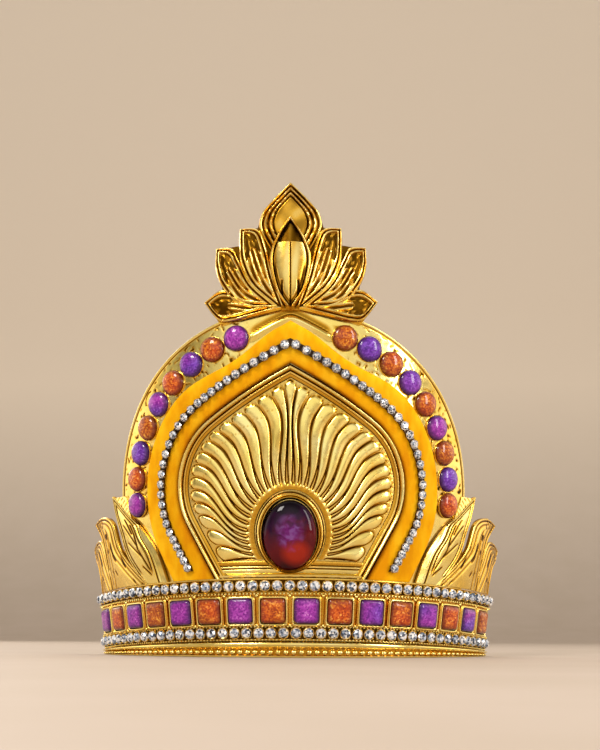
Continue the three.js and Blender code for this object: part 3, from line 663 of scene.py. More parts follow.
def velvet_strip(along, across, is_front):
    reach = 2 * along - 1
    outside = VELVET_OUTSIDE - NARROWING * ridge(abs(reach) - 0.17, 0.13) - APEX_ROUNDING * ridge(reach, 0.04)
    offset = lerp(VELVET_INSIDE, outside, across)
    u, z = pointed_arch(offset, reach, UPPER_FOOT)
    # Painted shade: the strip's walls are dark.
    if not is_front:
        return u, z, VELVET_BACK, 1.0
    middle = 2 * across - 1
    crown = lerp(VELVET_CROWN, VELVET_EDGE, middle * middle) - VELVET_BACK
    pile = 0.07 * noise.noise((0.25 * u, 0.25 * z, 1.0)) + 0.03 * noise.noise((1.1 * u, 1.1 * z, 2.0))
    edge = 0.45 + 0.55 * sqrt(max(0.0, 1 - abs(middle) ** 12))
    # Painted light: shade grows from the outer edge inwards and along the inner edge, so the outer edge
    # carries a painted highlight.
    shade = 0.2 * smooth((outside - offset) / 4) + 0.15 * ridge(offset - VELVET_INSIDE, 2.4)
    return u, z, VELVET_BACK + (crown + pile) * edge, shade + 0.35 * ridge(offset - VELVET_INSIDE, 0.5)


# Rayon velvet: a dense pile that takes the light softly, brighter where the nap leans to it, with a
# pale sheen at a slant. The pile's own 0.1 mm grain is drawn at 0.45 mm to show.
plush, tree, shader = new_material(
    "rayon_velvet", Roughness=0.9, Specular_IOR_Level=0.1, Sheen_Weight=0.15, Sheen_Roughness=0.35,
    Sheen_Tint=linear("FFC860"))
spot = add_node(tree, "ShaderNodeTexCoord").outputs["Object"]
stretched = add_node(tree, "ShaderNodeMapping", {"Vector": spot, "Scale": (1.0, 1.0, 0.45)})
nap = add_node(
    tree, "ShaderNodeTexNoise",
    {"Vector": stretched.outputs["Vector"], "Scale": 1 / (5.5 * MM), "Detail": 4.0})
pile = add_node(tree, "ShaderNodeTexNoise", {"Vector": spot, "Scale": 1 / (0.45 * MM), "Detail": 2.0})
shade = add_node(tree, "ShaderNodeAttribute", attribute_name="recess").outputs["Fac"]
cloth = add_node(
    tree, "ShaderNodeValToRGB", {"Fac": nap.outputs["Fac"]},
    stops=[(0.36, "EAA002"), (0.5, "F8B606"), (0.64, "FFC81A")])
# The recess mixes the cloth towards deep orange: painted shade over most of the strip, with a painted
# highlight along the outer edge.
shaded = add_node(
    tree, "ShaderNodeMix", {0: shade, 6: cloth.outputs["Color"], 7: linear("A84E02")}, data_type="RGBA")
fuzz = add_node(
    tree, "ShaderNodeBump", {"Height": pile.outputs["Fac"], "Strength": 0.35, "Distance": 0.15 * MM})
tree.links.new(shaded.outputs[2], shader.inputs["Base Color"])
tree.links.new(fuzz.outputs["Normal"], shader.inputs["Normal"])

velvet = new_shape()
add_wall(velvet, *VELVET_GRID, velvet_strip)
velvet_arch = make_piece("velvet_strip", velvet, [plush], ["velvet_arch"], sharp=70)


# The chain on the velvet: the same cut stones in a finer size, in cups painted dark with shade,
# sewn and glued along the middle of the strip from foot to foot.
ARCH_CHAIN_FOOT = 29.6
ARCH_CHAIN_COUNT = 60
ARCH_STONE = (1.52, 1.1)
ARCH_STRIP = (1.1, 2.2)
ARCH_SEAT = 2.9

# Nickel: grey on the prongs' tips, with painted shade that turns it nearly black inside the cups.
cup_metal, tree, shader = new_material("nickel_with_painted_shade", Metallic=1.0, Roughness=0.3)
recess = add_node(tree, "ShaderNodeAttribute", attribute_name="recess").outputs["Fac"]
nickel = add_node(
    tree, "ShaderNodeValToRGB", {"Fac": recess},
    stops=[(0.0, "B4AEA4"), (0.6, "5A4A3E"), (1.0, "2A1C14")])
tree.links.new(nickel.outputs["Color"], shader.inputs["Base Color"])


def along_arch(share, across):
    return pointed_arch(across, 2 * share - 1, ARCH_CHAIN_FOOT)


make_chain(
    "arch_rhinestones", "arch_chain", ARCH_CHAIN_COUNT, ARCH_STONE, ARCH_STRIP, ARCH_SEAT, along_arch,
    cup_metal)


# The panel's frame: a drawn brass moulding with a round bead, a quirk and a fillet, bent along the
# inside of the velvet, with a stepped sill across its foot.
MOULDING_OUTSIDE = VELVET_INSIDE - 0.3
MOULDING_INSIDE = MOULDING_OUTSIDE - 4.0
MOULDING_BACK = 0.3
MOULDING_COLUMNS = 280
SILL_TOP = 27.7
SILL_BACK = MOULDING_BACK + 0.1
SILL_COLUMNS = 40
# The recess paints shade in the quirks and along the velvet's edge.
MOULDING_PROFILE = [  # share of its width from the inside, front and recess
    (0.0, 0.9, 0.7), (0.03, 1.1, 0.4), (0.2, 1.15, 0.35), (0.24, 1.2, 0.7), (0.28, 1.45, 0.2),
    (0.34, 1.55, 0.15), (0.4, 1.5, 0.25), (0.44, 1.2, 0.8), (0.5, 1.1, 0.9), (0.54, 1.6, 0.3),
    (0.58, 2.1, 0.0), (0.64, 2.5, 0.0), (0.7, 2.6, 0.0), (0.76, 2.5, 0.0), (0.8, 2.1, 0.2),
    (0.84, 1.6, 0.85), (0.88, 1.2, 1.0), (0.94, 1.1, 1.0), (1.0, 1.0, 1.0)]
# The recess paints a little shade at the sill's foot.
SILL_PROFILE = [(0.0, 1.2, 0.3), (0.2, 1.5, 0.0), (0.9, 1.55, 0.0), (1.0, 1.3, 0.0)]


def moulding(along, across, is_front):
    share, front, depth = pick(MOULDING_PROFILE, across)
    u, z = pointed_arch(lerp(MOULDING_INSIDE, MOULDING_OUTSIDE, share), 2 * along - 1, UPPER_FOOT)
    return u, z, front if is_front else MOULDING_BACK, depth if is_front else 0.0


def sill(along, across, is_front):
    share, front, depth = pick(SILL_PROFILE, across)
    z = lerp(UPPER_FOOT, SILL_TOP, share)
    end = leg_at((MOULDING_INSIDE + MOULDING_OUTSIDE) / 2, z)
    return lerp(-end, end, along), z, front if is_front else SILL_BACK, depth if is_front else 0.0


panel_frame = new_shape()
add_wall(panel_frame, MOULDING_COLUMNS, len(MOULDING_PROFILE) - 1, moulding)
add_wall(panel_frame, SILL_COLUMNS, len(SILL_PROFILE) - 1, sill)
make_piece("ogee_moulding", panel_frame, [gold], ["panel_frame"], sharp=60)


# The panel: one brass pressing with rays that fan out from the oval and sweep in an S to round tips.
# The channels between them stop short of the oval, and three plain steps run along the foot.
BEZEL_CENTRE = 41.9
BEZEL_HALF_WIDTH = 11.8
BEZEL_HALF_HEIGHT = 13.9
PANEL_GAP = 0.3
PANEL_BACK = 0.3
FAN_HALF_TURN = radians(130)
FAN_FOOT = 32.4
FAN_HANDLE = 0.45  # of the distance from the bezel to the moulding
TIP_LEAN = 0.5  # in radians: the tips beside the middle lean out by this
TIP_LEAN_START = 0.09  # which they reach at this share of the fan
TIP_LEAN_GROWTH = 1.55
TIP_LEAN_MOST = 1.62
RAY_COUNT = 31
RAY_STEPS = 18  # columns to a ray
RAY_ROWS = 64
COLLAR = 2.2  # smooth metal between the bezel and the channels
TIP_MARGIN = 0.8  # and between the rays' tips and the moulding
STEP_COLUMNS = 40
# The recess paints shade in the steps' grooves.
STEP_PROFILE = [  # height, front and recess
    (27.8, 1.3, 0.0), (29.2, 1.7, 0.0), (29.45, 1.6, 0.1), (29.6, 1.2, 0.95), (29.8, 1.15, 0.95),
    (29.95, 1.5, 0.1), (30.2, 1.6, 0.0), (30.45, 1.5, 0.1), (30.6, 1.15, 0.9), (30.8, 1.15, 0.9),
    (30.95, 1.35, 0.4), (32.2, 1.4, 0.3), (32.4, 1.2, 0.7)]


def fan_point(turn, along):
    """A point of the fan: turn is -1 at the left end and 1 at the right, along runs out to the frame."""
    angle = turn * FAN_HALF_TURN
    first_angle = min(pi / 2, max(-pi / 2, angle))
    lean = min(TIP_LEAN * min(abs(turn) / TIP_LEAN_START, 1) + TIP_LEAN_GROWTH * abs(turn), TIP_LEAN_MOST)
    tip_angle = lean if turn >= 0 else -lean
    start = Vector((
        (BEZEL_HALF_WIDTH + PANEL_GAP) * sin(angle),
        BEZEL_CENTRE + (BEZEL_HALF_HEIGHT + PANEL_GAP) * cos(angle)))
    end = Vector(pointed_arch(MOULDING_INSIDE - PANEL_GAP, turn, FAN_FOOT))
    handle = FAN_HANDLE * (end - start).length
    first = start + handle * Vector((sin(first_angle), cos(first_angle)))
    last = end - handle * Vector((sin(tip_angle), cos(tip_angle)))
    t = along
    point = (1 - t) ** 3 * start + 3 * t * (1 - t) ** 2 * first + 3 * t * t * (1 - t) * last + t ** 3 * end
    return point, (point - start).length, (point - end).length


def ray_panel(across, along, is_front):
    turn = 2 * across - 1
    point, reach, left = fan_point(turn, along)
    if not is_front:
        return point.x, point.y, PANEL_BACK, 0.0
    step = 0.5 / RAY_COUNT
    ahead, behind = fan_point(min(1, turn + step), along)[0], fan_point(max(-1, turn - step), along)[0]
    space = 2 * (ahead - behind).length
    side = across * RAY_COUNT % 1 - 0.5
    channel = lerp(0.55, 0.16, smooth(reach / 14))
    half_ray = max(0.2, space / 2 - channel)
    away = side if turn >= 0 else -side
    centred = abs(away - 0.05 * smooth((9 - left) / 5)) * space
    inside = half_ray - centred
    if left < TIP_MARGIN + half_ray:
        inside = half_ray - hypot(centred, TIP_MARGIN + half_ray - left)
    if reach < COLLAR + channel:
        inside = hypot((0.5 - abs(side)) * space, COLLAR + channel - reach) - channel
    heavy = (away > 0) * smooth((13 - left) / 4) * smooth((left - 2) / 2)
    line = ridge(inside, 0.21 + 0.2 * heavy)
    crease = 0.5 * ridge(left - 6.5 - 2 * side, 0.13) * smooth((inside - 0.4) / 0.3)
    crease *= smooth((0.8 - abs(turn)) / 0.1)
    shoulder = min(1.0, max(0.0, inside / 0.6))
    pillow = min(1.0, max(0.0, inside / max(0.6, half_ray)))
    swell = sin(pi * lerp(0.2, 0.85, along))
    tilt = 0.16 * noise.noise((floor(across * RAY_COUNT) * 3.7, 0.12 * reach, 6.0)) * side * space
    rise = 0.22 * sqrt(1 - (1 - shoulder) ** 2) + 0.5 * swell * (1 - (1 - pillow) ** 2) + tilt * shoulder
    # Painted shade: dark down the channels and creases, heavier on one side near the tips, and over the plain
    # collar by the bezel.
    shade = 0.16 * (inside < 0) + 0.42 * smooth((COLLAR - reach) / 1.2)
    return point.x, point.y, 1.1 + rise - 0.22 * line - 0.1 * crease, 0.95 * line + 0.6 * crease + shade


def foot_steps(along, across, is_front):
    z, front, depth = pick(STEP_PROFILE, across)
    end = leg_at(MOULDING_INSIDE + 0.2, z)
    return lerp(-end, end, along), z, front if is_front else PANEL_BACK, depth if is_front else 0.0


panel = new_shape()
add_wall(panel, RAY_COUNT * RAY_STEPS, RAY_ROWS, ray_panel)
add_wall(panel, STEP_COLUMNS, len(STEP_PROFILE) - 1, foot_steps)
make_piece("ray_pressing", panel, [gold], ["ray_panel"], sharp=75)


# The oval's bezel: a turned and flattened brass ring, with a thin lip closed over the stone, a broad
# roll round it and a step down to the panel. It is wider at the top.
OVAL_CENTRE = 41.0
OVAL_HALF_WIDTH = 9.0
OVAL_HALF_HEIGHT = 11.8
OVAL_GAP = 0.15  # between the stone and the ring
BEZEL_BACK = 0.3
BEZEL_FRONT = 3.4
BEZEL_STEPS = 112
# The recess paints shade in the ring's grooves and where it meets the stone and the panel.
BEZEL_PROFILE = [  # share of its width from the stone, share of its height, and recess
    (0.0, 0.0, 1.0), (0.0, 0.82, 0.6), (0.05, 0.95, 0.0), (0.12, 1.0, 0.0), (0.2, 0.93, 0.0),
    (0.25, 0.78, 0.8), (0.31, 0.78, 0.8), (0.38, 0.92, 0.1), (0.48, 0.98, 0.1), (0.58, 0.93, 0.1),
    (0.67, 0.75, 0.2), (0.72, 0.55, 0.9), (0.77, 0.55, 0.9), (0.84, 0.66, 0.0), (0.91, 0.62, 0.1),
    (0.97, 0.42, 0.6), (1.0, 0.0, 1.0)]

ring_profile = [(share + 0.5, level, depth) for share, level, depth in BEZEL_PROFILE]
bezel = turned(ring_profile, BEZEL_STEPS, closed=True)
for vert in bezel.verts:
    angle = atan2(vert.co.y, vert.co.x)
    share, level = hypot(vert.co.x, vert.co.y) - 0.5, vert.co.z
    u = lerp(OVAL_HALF_WIDTH + OVAL_GAP, BEZEL_HALF_WIDTH, share) * cos(angle)
    half_height = lerp(OVAL_HALF_HEIGHT + OVAL_GAP, BEZEL_HALF_HEIGHT, share)
    z = lerp(OVAL_CENTRE, BEZEL_CENTRE, share) + half_height * sin(angle)
    vert.co = bent(u, z, lerp(BEZEL_BACK, BEZEL_FRONT, level))
make_piece("oval_ring", bezel, [gold], ["oval_bezel"], sharp=50)


# The oval stone: a high dome of dark violet glass, cast and polished. It is set into the bezel from
# the front and held by its lip.
OVAL_DOME = 5.4
OVAL_SEAT = 0.6
OVAL_LEAN = radians(18)  # the colours inside lie at this slant
OVAL_ROWS = 14
OVAL_STEPS = 64

# Cast glass: nearly black above, violet in the middle and deep red below, with cloudy veils inside
# and a warm patch low on the right.
glass, tree, shader = new_material(
    "cast_violet_glass", Roughness=0.25, Specular_IOR_Level=0.0, Coat_Weight=0.4, Coat_Roughness=0.06)
spot = add_node(tree, "ShaderNodeTexCoord").outputs["Object"]
veils = add_node(
    tree, "ShaderNodeTexNoise", {"Vector": spot, "Scale": 1 / (6 * MM), "Detail": 4.0, "Distortion": 1.0})
cloud = add_node(
    tree, "ShaderNodeTexNoise", {"Vector": spot, "Scale": 1 / (3 * MM), "Detail": 5.0, "Distortion": 0.6})
unit = 1 / (2 * OVAL_HALF_HEIGHT * MM)
leaning = add_node(
    tree, "ShaderNodeMapping",
    {"Vector": spot, "Location": (0, 0, 0.5 - OVAL_CENTRE * MM * unit * cos(OVAL_LEAN)),
     "Rotation": (0, OVAL_LEAN, 0), "Scale": (unit, unit, unit)})
level = add_node(tree, "ShaderNodeSeparateXYZ", {"Vector": leaning.outputs["Vector"]}).outputs["Z"]
stirred = add_node(
    tree, "ShaderNodeMath", {0: veils.outputs["Fac"], 1: 0.5, 2: level}, operation="MULTIPLY_ADD")
depth = add_node(tree, "ShaderNodeMath", {0: stirred.outputs["Value"], 1: 0.25}, operation="SUBTRACT")
body = add_node(
    tree, "ShaderNodeValToRGB", {"Fac": depth.outputs["Value"]},
    stops=[(0.0, "30060A"), (0.2, "520A10"), (0.4, "5A0C14"), (0.56, "440A20"), (0.68, "280828"),
           (0.8, "120414"), (1.0, "060208")])
ember_place = add_node(
    tree, "ShaderNodeMapping",
    {"Vector": spot, "Location": (-2.2 / 6, 0, (6.4 - OVAL_CENTRE) / 5),
     "Scale": (1 / (6 * MM), 0, 1 / (5 * MM))})
ember = add_node(
    tree, "ShaderNodeTexGradient", {"Vector": ember_place.outputs["Vector"]}, gradient_type="SPHERICAL")
ember_share = add_node(tree, "ShaderNodeMapRange", {"Value": ember.outputs["Fac"], "From Max": 0.55})
lit = add_node(
    tree, "ShaderNodeMix", {0: ember_share.outputs["Result"], 6: body.outputs["Color"], 7: linear("962412")},
    data_type="RGBA")
middle = add_node(
    tree, "ShaderNodeMapping",
    {"Vector": spot, "Location": (0, 0, -OVAL_CENTRE / 8), "Scale": (1 / (6.5 * MM), 0, 1 / (8 * MM))})
glow = add_node(
    tree, "ShaderNodeTexGradient", {"Vector": middle.outputs["Vector"]}, gradient_type="SPHERICAL")
mist = add_node(
    tree, "ShaderNodeMath", {0: glow.outputs["Fac"], 1: cloud.outputs["Fac"]}, operation="MULTIPLY")
share = add_node(
    tree, "ShaderNodeMapRange",
    {"Value": mist.outputs["Value"], "From Min": 0.08, "From Max": 0.42, "To Max": 0.7})
haze = add_node(
    tree, "ShaderNodeValToRGB", {"Fac": cloud.outputs["Fac"]},
    stops=[(0.38, "3C0E50"), (0.52, "6C1E76"), (0.64, "7E4E98")])
inside = add_node(
    tree, "ShaderNodeMix", {0: share.outputs["Result"], 6: lit.outputs[2], 7: haze.outputs["Color"]},
    data_type="RGBA")
tree.links.new(inside.outputs[2], shader.inputs["Base Color"])

dome = [(0, 0), (1, 0), (1, 0.26 * OVAL_DOME)]
for i in range(OVAL_ROWS + 1):
    angle = pi / 2 * i / OVAL_ROWS
    dome.append((cos(angle), lerp(0.3, 1.0, sin(angle)) * OVAL_DOME))
oval = new_shape()
stretch = Matrix.Diagonal((OVAL_HALF_WIDTH, OVAL_HALF_HEIGHT, 1, 1))
add_copies(oval, turned(dome, OVAL_STEPS), [seat(0, OVAL_CENTRE, OVAL_SEAT) @ stretch])
make_piece("oval_cabochon", oval, [glass], ["oval_stone"])


# The round stones: low resin domes with foil flakes, one in each cup along the arch, violet and amber
# in turn. The row starts with violet on the left and with amber on the right.
ROUND_RADIUS = 4.45
ROUND_DOME = 2.7
ROUND_SEAT = 0.6
ROUND_ROWS = 10
SIDES = ((-1, "left"), (1, "right"))
# The recess paints shade round each dome's rim and under it.
low_dome = [(0, 0, 1.0), (ROUND_RADIUS, 0, 1.0), (ROUND_RADIUS, 0.2 * ROUND_DOME, 0.9)]
for i in range(ROUND_ROWS + 1):
    angle = pi / 2 * i / ROUND_ROWS
    depth = 0.85 * smooth((cos(angle) - 0.6) / 0.4)
    low_dome.append((ROUND_RADIUS * cos(angle), lerp(0.24, 1.0, sin(angle)) * ROUND_DOME, depth))
for side, word in SIDES:
    for i, (u, z) in enumerate(round_row(side)):
        cabochon = new_shape()
        add_copies(cabochon, turned(low_dome, ROUND_STEPS), [seat(u, z, ROUND_SEAT)])
        finish, slot = resins[(i + (side > 0)) % 2]
        make_piece(f"round_resin_{word}_{i + 1}", cabochon, [finish], [f"round_stone_{word}_{i + 1}"])


# The leaf sprays: pressed brass leaves, three at each end of the arch, soldered to the sheet and to each
# other. The inner one has a double rim round a twig in fine lines, and the outer two roll over at the top.
SPRAY_LEAVES = [  # the two edges, then the places of the back, the edges' front and the crest
    ([(45.2, 26.6), (50.2, 37.5), (58.9, 47.2), (65.2, 51.8), (75.7, 60.2)],
     [(56, 26.6), (66.4, 37.3), (71.2, 46.8), (74.4, 53.8), (76.3, 59.8)], (0.2, 1.3, 2.2)),
    ([(54, 26.6), (70, 39.4), (76.4, 50.6), (85.4, 54), (95.4, 53)],
     [(80, 26.6), (84, 38), (87, 45), (90.6, 48.8), (95.7, 52.4)], (0.2, 1.4, 2.1)),
    ([(76, 26.6), (83, 37.2), (88.6, 45), (95.2, 46.4), (103.4, 44.8)],
     [(92.6, 26.6), (93.8, 31.4), (96.8, 36.6), (101.2, 39.6), (103.7, 44.2)], (0.1, 1.1, 1.8))]
WEB_TOP = 59.2  # a flat web fills the corner between the inner leaf's tip and the sheet's edge
TWIG = [  # its lines, as places from the leaf's middle and up from its foot
    ((2.6, 1.5), (1.2, 6.0)), ((1.2, 6.0), (0.5, 12.2)), ((0.5, 12.2), (2.0, 17.5)),
    ((-1.2, 6.3), (1.1, 3.4)), ((0.6, 9.6), (-3.0, 15.0)), ((0.6, 14.0), (-1.5, 23.0)),
    ((1.0, 18.4), (1.0, 27.3)), ((1.9, 17.0), (2.2, 22.5)), ((3.4, 9.5), (4.4, 14.5)),
    ((4.4, 14.5), (4.2, 19.0)), ((4.4, 8.2), (5.2, 2.4))]
LEAF_GRID = (100, 60)  # columns up a leaf and rows across it
WEB_GRID = (24, 16)
HATCH_PITCH = 2.4


def through(points, share):
    """A point of the smooth curve through a few flat points."""
    last = len(points) - 1
    i = min(int(share * last), last - 1)
    t = share * last - i
    before, start, end, after = (Vector(points[min(max(k, 0), last)]) for k in (i - 1, i, i + 1, i + 2))
    leave, arrive = (end - before) / 2, (after - start) / 2
    return (
        (2 * start - 2 * end + leave + arrive) * t ** 3 + (-3 * start + 3 * end - 2 * leave - arrive) * t * t
        + leave * t + start)


def add_blade(shape, blade, side, columns, rows, relief):
    """A leaf or petal between two edges that meet at its tip. relief gives what is added to its front
    and the recess, from the distances to the edge, to the middle line and to the foot, and the length."""
    left, right, (back, edge, crest) = blade
    foot = (Vector(left[0]) + Vector(right[0])) / 2
    length = ((Vector(left[-1]) + Vector(right[-1])) / 2 - foot).length

    def place(along, across, is_front):
        first, last = through(right, along), through(left, along)
        point = first.lerp(last, across)
        # Painted shade darkens the wall round the edge.
        if not is_front:
            return side * point.x, point.y, back, 0.7 * (min(across, 1 - across) < 0.001)
        width = (last - first).length
        from_edge = width * min(across, 1 - across)
        swell = sin(pi * across) * sin(pi * lerp(0.25, 0.95, along))
        added, depth = relief(from_edge, width * (across - 0.5), length * along, length)
        depth = max(depth, 0.5 * (from_edge < 0.01))
        return side * point.x, point.y, max(back + 0.15, lerp(edge, crest, swell) + added), depth

    add_wall(shape, columns, rows, place)


def to_line(x, y, start, end):
    """How far a point lies from a short straight line."""
    run = Vector(end) - Vector(start)
    share = (Vector((x, y)) - Vector(start)).dot(run) / run.length_squared
    return (Vector((x, y)) - Vector(start) - min(1.0, max(0.0, share)) * run).length


def leaf_relief(from_edge, from_middle, reach, length):
    inner = smooth(from_middle / 0.8) * smooth((0.55 * length - reach) / 9)
    from_rim = from_edge - 2.2 * inner
    rims = 0.18 * ridge(from_rim - 0.45, 0.35) + 0.18 * ridge(from_rim - 1.8, 0.35)
    grooves = ridge(from_rim - 1.1, 0.34) + ridge(from_rim - 2.6, 0.34) * smooth((reach - 3) / 3)
    twig = max(ridge(to_line(from_middle, reach, *line), 0.4) for line in TWIG)
    twig *= smooth((from_rim - 2.9) / 0.6)
    dent = 0.06 * noise.noise((0.3 * from_middle, 0.3 * reach, 4.0))
    # The recess paints shade in the grooves by the rims and along the twig.
    return rims - 0.2 * grooves - 0.2 * twig + dent, 1.1 * grooves + 1.1 * twig


def curl_relief(from_edge, from_middle, reach, length):
    rim = 0.3 * ridge(from_edge - 0.6, 0.5)
    groove = ridge(from_edge - 1.4, 0.32)
    stem = smooth((0.8 - reach / length) / 0.2)
    flutes = stem * (ridge(from_edge - 3.2, 0.4) + ridge(from_edge - 5.8, 0.35))
    rolls = ridge((reach - 0.72 * length) % 2.4 - 1.2, 0.3) * smooth((reach / length - 0.72) / 0.03)
    speck = noise.noise((0.45 * from_middle, 0.3 * reach, 5.0))
    pits = stem * smooth((speck - 0.3) / 0.15) * smooth((from_edge - 1.6) / 0.5)
    # Painted shade in the groove, the flutes, the rolls and the pits, over a slight darkening all over.
    added = rim - 0.25 * groove - 0.25 * flutes - 0.3 * rolls - 0.12 * pits + 0.06 * speck
    depth = 0.16 + 0.8 * groove + 0.5 * flutes + 0.7 * rolls * smooth((from_edge - 0.5) / 0.5)
    return added, depth + 0.6 * pits


for side, word in SIDES:
    def web(along, across, is_front, side=side):
        edge = through(SPRAY_LEAVES[0][0], lerp(0.6, 1.0, along))
        u, z = lerp(edge.x + 1.0, ARCH_HALF_WIDTH - 2.0, across), lerp(edge.y - 0.6, WEB_TOP, across)
        hatch = ridge((u + z) % HATCH_PITCH - HATCH_PITCH / 2, 0.25) * smooth((0.85 - across) / 0.1)
        front = lerp(1.3, 0.7, across) - 0.15 * hatch
        # The hatching's lines are painted dark with shade.
        return side * u, z, front if is_front else 0.1, 0.8 * hatch if is_front else 0.0

    spray = new_shape()
    for blade, relief in zip(SPRAY_LEAVES, (leaf_relief, curl_relief, curl_relief)):
        add_blade(spray, blade, side, *LEAF_GRID, relief)
    add_wall(spray, *WEB_GRID, web)
    make_piece(f"pressed_leaves_{word}", spray, [gold], [f"leaf_spray_{word}"], sharp=65)


# The lotus: cast petals on a plate, soldered over the top of the arch and the tongue behind it. Each
# petal is hollow inside a narrow lip, with a second line in it and ribs that rise from the foot.
LOTUS_OUTLINE = [  # height and half width
    (112.8, 24.4), (120.8, 29.8), (124.9, 23.8), (135.1, 25.6), (138.8, 24.8), (139.3, 17.8), (144.3, 17.0),
    (145.0, 11.5), (148.9, 10.4), (153.1, 7.0), (160.0, 0.4)]
LOTUS_FOOT_RISE = 3.9
PLATE_INSET = 0.4
PLATE_COLUMNS = 48
PLATE_STEPS = 4  # rows to each stretch of the outline
TALL_GRID = (76, 60)  # columns up a petal and rows across it
SIDE_GRID = (90, 48)
FRONT_GRID = (96, 52)
RIB_PITCH = 1.7
TALL_DEPTHS = (1.0, 2.4, 3.2)  # places of the back, the edges' front and the crest
FRONT_DEPTHS = (1.0, 3.8, 6.0)
TALL_EDGE = [(4, 132.4), (9.9, 143.2), (9.9, 148.7), (6.8, 153.1), (0.3, 159.7)]
FRONT_EDGE = [(1.4, 117.2), (5, 123.6), (6.8, 133.4), (4.6, 141.0), (0.3, 147.6)]
SIDE_PETALS = [
    ([(2, 117.6), (5.6, 128.0), (8, 138.1), (10.6, 143.8), (16.7, 144.5)],
     [(5, 117.4), (13, 124.8), (16.7, 132.8), (17.2, 138.9), (17.0, 144.1)], (1.0, 2.8, 4.6)),
    ([(4, 117.4), (13, 125.8), (17.4, 134.3), (19.6, 138.2), (25.0, 138.9)],
     [(5, 116.8), (16.6, 118.3), (22.8, 124.8), (25.5, 131.7), (25.3, 138.4)], (1.0, 2.4, 4.2)),
    ([(3, 117.5), (13.6, 120.2), (20, 123.7), (24.4, 124.4), (29.6, 121.1)],
     [(3, 116.6), (13, 114.6), (20, 113.5), (24.6, 114.2), (29.6, 120.5)], (1.0, 2.0, 3.4))]


def both_edges(edge, depths):
    return [(-u, z) for u, z in edge], edge, depths


def lotus_plate(across, along, is_front):
    row = round(along * PLATE_STEPS * (len(LOTUS_OUTLINE) - 1)) / PLATE_STEPS
    i = min(int(row), len(LOTUS_OUTLINE) - 2)
    (low, low_half), (high, high_half) = LOTUS_OUTLINE[i], LOTUS_OUTLINE[i + 1]
    z, half_width = lerp(low, high, row - i), max(0.2, lerp(low_half, high_half, row - i) - PLATE_INSET)
    rise = LOTUS_FOOT_RISE * sin(pi * across) * max(0.0, 1 - row)
    collar = ridge(row - 0.1, 0.12) if is_front else 0.0
    # Painted shade darkens the plate, except on its collar.
    front, depth = (1.5 + 0.7 * collar, 0.75 - 0.75 * collar) if is_front else (0.3, 0.0)
    return half_width * (2 * across - 1), z + rise, front, depth


def hairpin(from_middle, reach, half_width, top):
    """How far a point lies from a narrow loop that rises from the foot and is round at its top."""
    return hypot(from_middle, max(0.0, reach - top)) - half_width


def petal_relief(from_edge, from_middle, reach, length):
    lip = ridge(from_edge - 0.55, 0.36)
    groove = ridge(from_edge - 1.25, 0.26)
    second = ridge(from_edge - 1.85, 0.26)
    hollow = smooth((from_edge - 2.1) / 0.6)
    tops = 0.6 * length - 1.3 * abs(from_middle)
    ribs = ridge(from_middle % RIB_PITCH - RIB_PITCH / 2, 0.5) * smooth((tops - reach) / 0.8) * hollow
    glint = smooth(noise.noise((0.9 * from_middle, 0.3 * reach, 8.0 + length)) / 0.35)
    # Painted shade in the groove and the hollow, except on the ribs; painted glints lighten the hollow in
    # patches, and the lips darken where the glints lie.
    added = 0.6 * lip - 0.6 * groove + 0.3 * second - 1.0 * hollow + 0.9 * ribs + 0.15 * glint * hollow
    return added, 0.9 * groove + hollow * (0.85 - 0.3 * glint) * (1 - ribs) + 0.25 * glint * (lip + second)


def tall_relief(from_edge, from_middle, reach, length):
    lips = sum(ridge(from_edge - place, 0.34) for place in (0.5, 2.3, 4.1))
    grooves = sum(ridge(from_edge - place, 0.3) for place in (1.15, 2.95, 4.75))
    field = smooth((from_edge - 0.9) / 0.3) * (1 - min(1.0, lips))
    # Broad patches of the tall petal are darker.
    extra_darkness = smooth((noise.noise((0.25 * from_middle, 0.16 * reach, 2.0)) + 0.5) / 1.0)
    added = 0.5 * lips - 0.6 * grooves - 0.4 * smooth((from_edge - 4.4) / 2)
    # Painted shade in the grooves and over the field inside the lips.
    return added, 0.6 * grooves + 0.28 * field + 0.3 * extra_darkness * field


def front_relief(from_edge, from_middle, reach, length):
    lip = 0.5 * ridge(from_edge - 0.55, 0.4)
    groove = ridge(from_edge - 1.25, 0.24)
    ledge = 0.67 * length
    seam = ridge(from_middle, 0.22) * smooth((ledge - reach) / 0.5)
    recess = smooth((reach - ledge) / 0.4) * smooth((from_edge - 1.2) / 0.4)
    to_loop = hairpin(abs(from_middle) - 2.6, reach, 0.45, 0.3 * length)
    loops = smooth(-to_loop / 0.3) * smooth((from_edge - 1.0) / 0.4)
    streaks = smooth((noise.noise((0.7 * from_middle, 0.06 * reach, 1.0)) + 0.25) / 0.7)
    flank = smooth((0.5 * length - reach) / 4) * ridge(from_edge - 1.9, 0.3)
    # Painted shade in the groove, the seam, the loops, the recess and beside the flank, over a slight
    # darkening in streaks.
    added = lip - 0.5 * groove - 0.5 * seam - 1.5 * recess - 0.5 * loops - 0.3 * flank
    return added, 0.9 * (groove + seam + loops) + 0.5 * recess + 0.7 * flank + 0.12 + 0.25 * streaks


lotus = new_shape()
add_wall(lotus, PLATE_COLUMNS, PLATE_STEPS * (len(LOTUS_OUTLINE) - 1), lotus_plate)
add_blade(lotus, both_edges(TALL_EDGE, TALL_DEPTHS), 1, *TALL_GRID, tall_relief)
for petal in SIDE_PETALS:
    for side in (-1, 1):
        add_blade(lotus, petal, side, *SIDE_GRID, petal_relief)
add_blade(lotus, both_edges(FRONT_EDGE, FRONT_DEPTHS), 1, *FRONT_GRID, front_relief)
make_piece("cast_lotus", lotus, [gold], ["lotus_finial"], sharp=65)


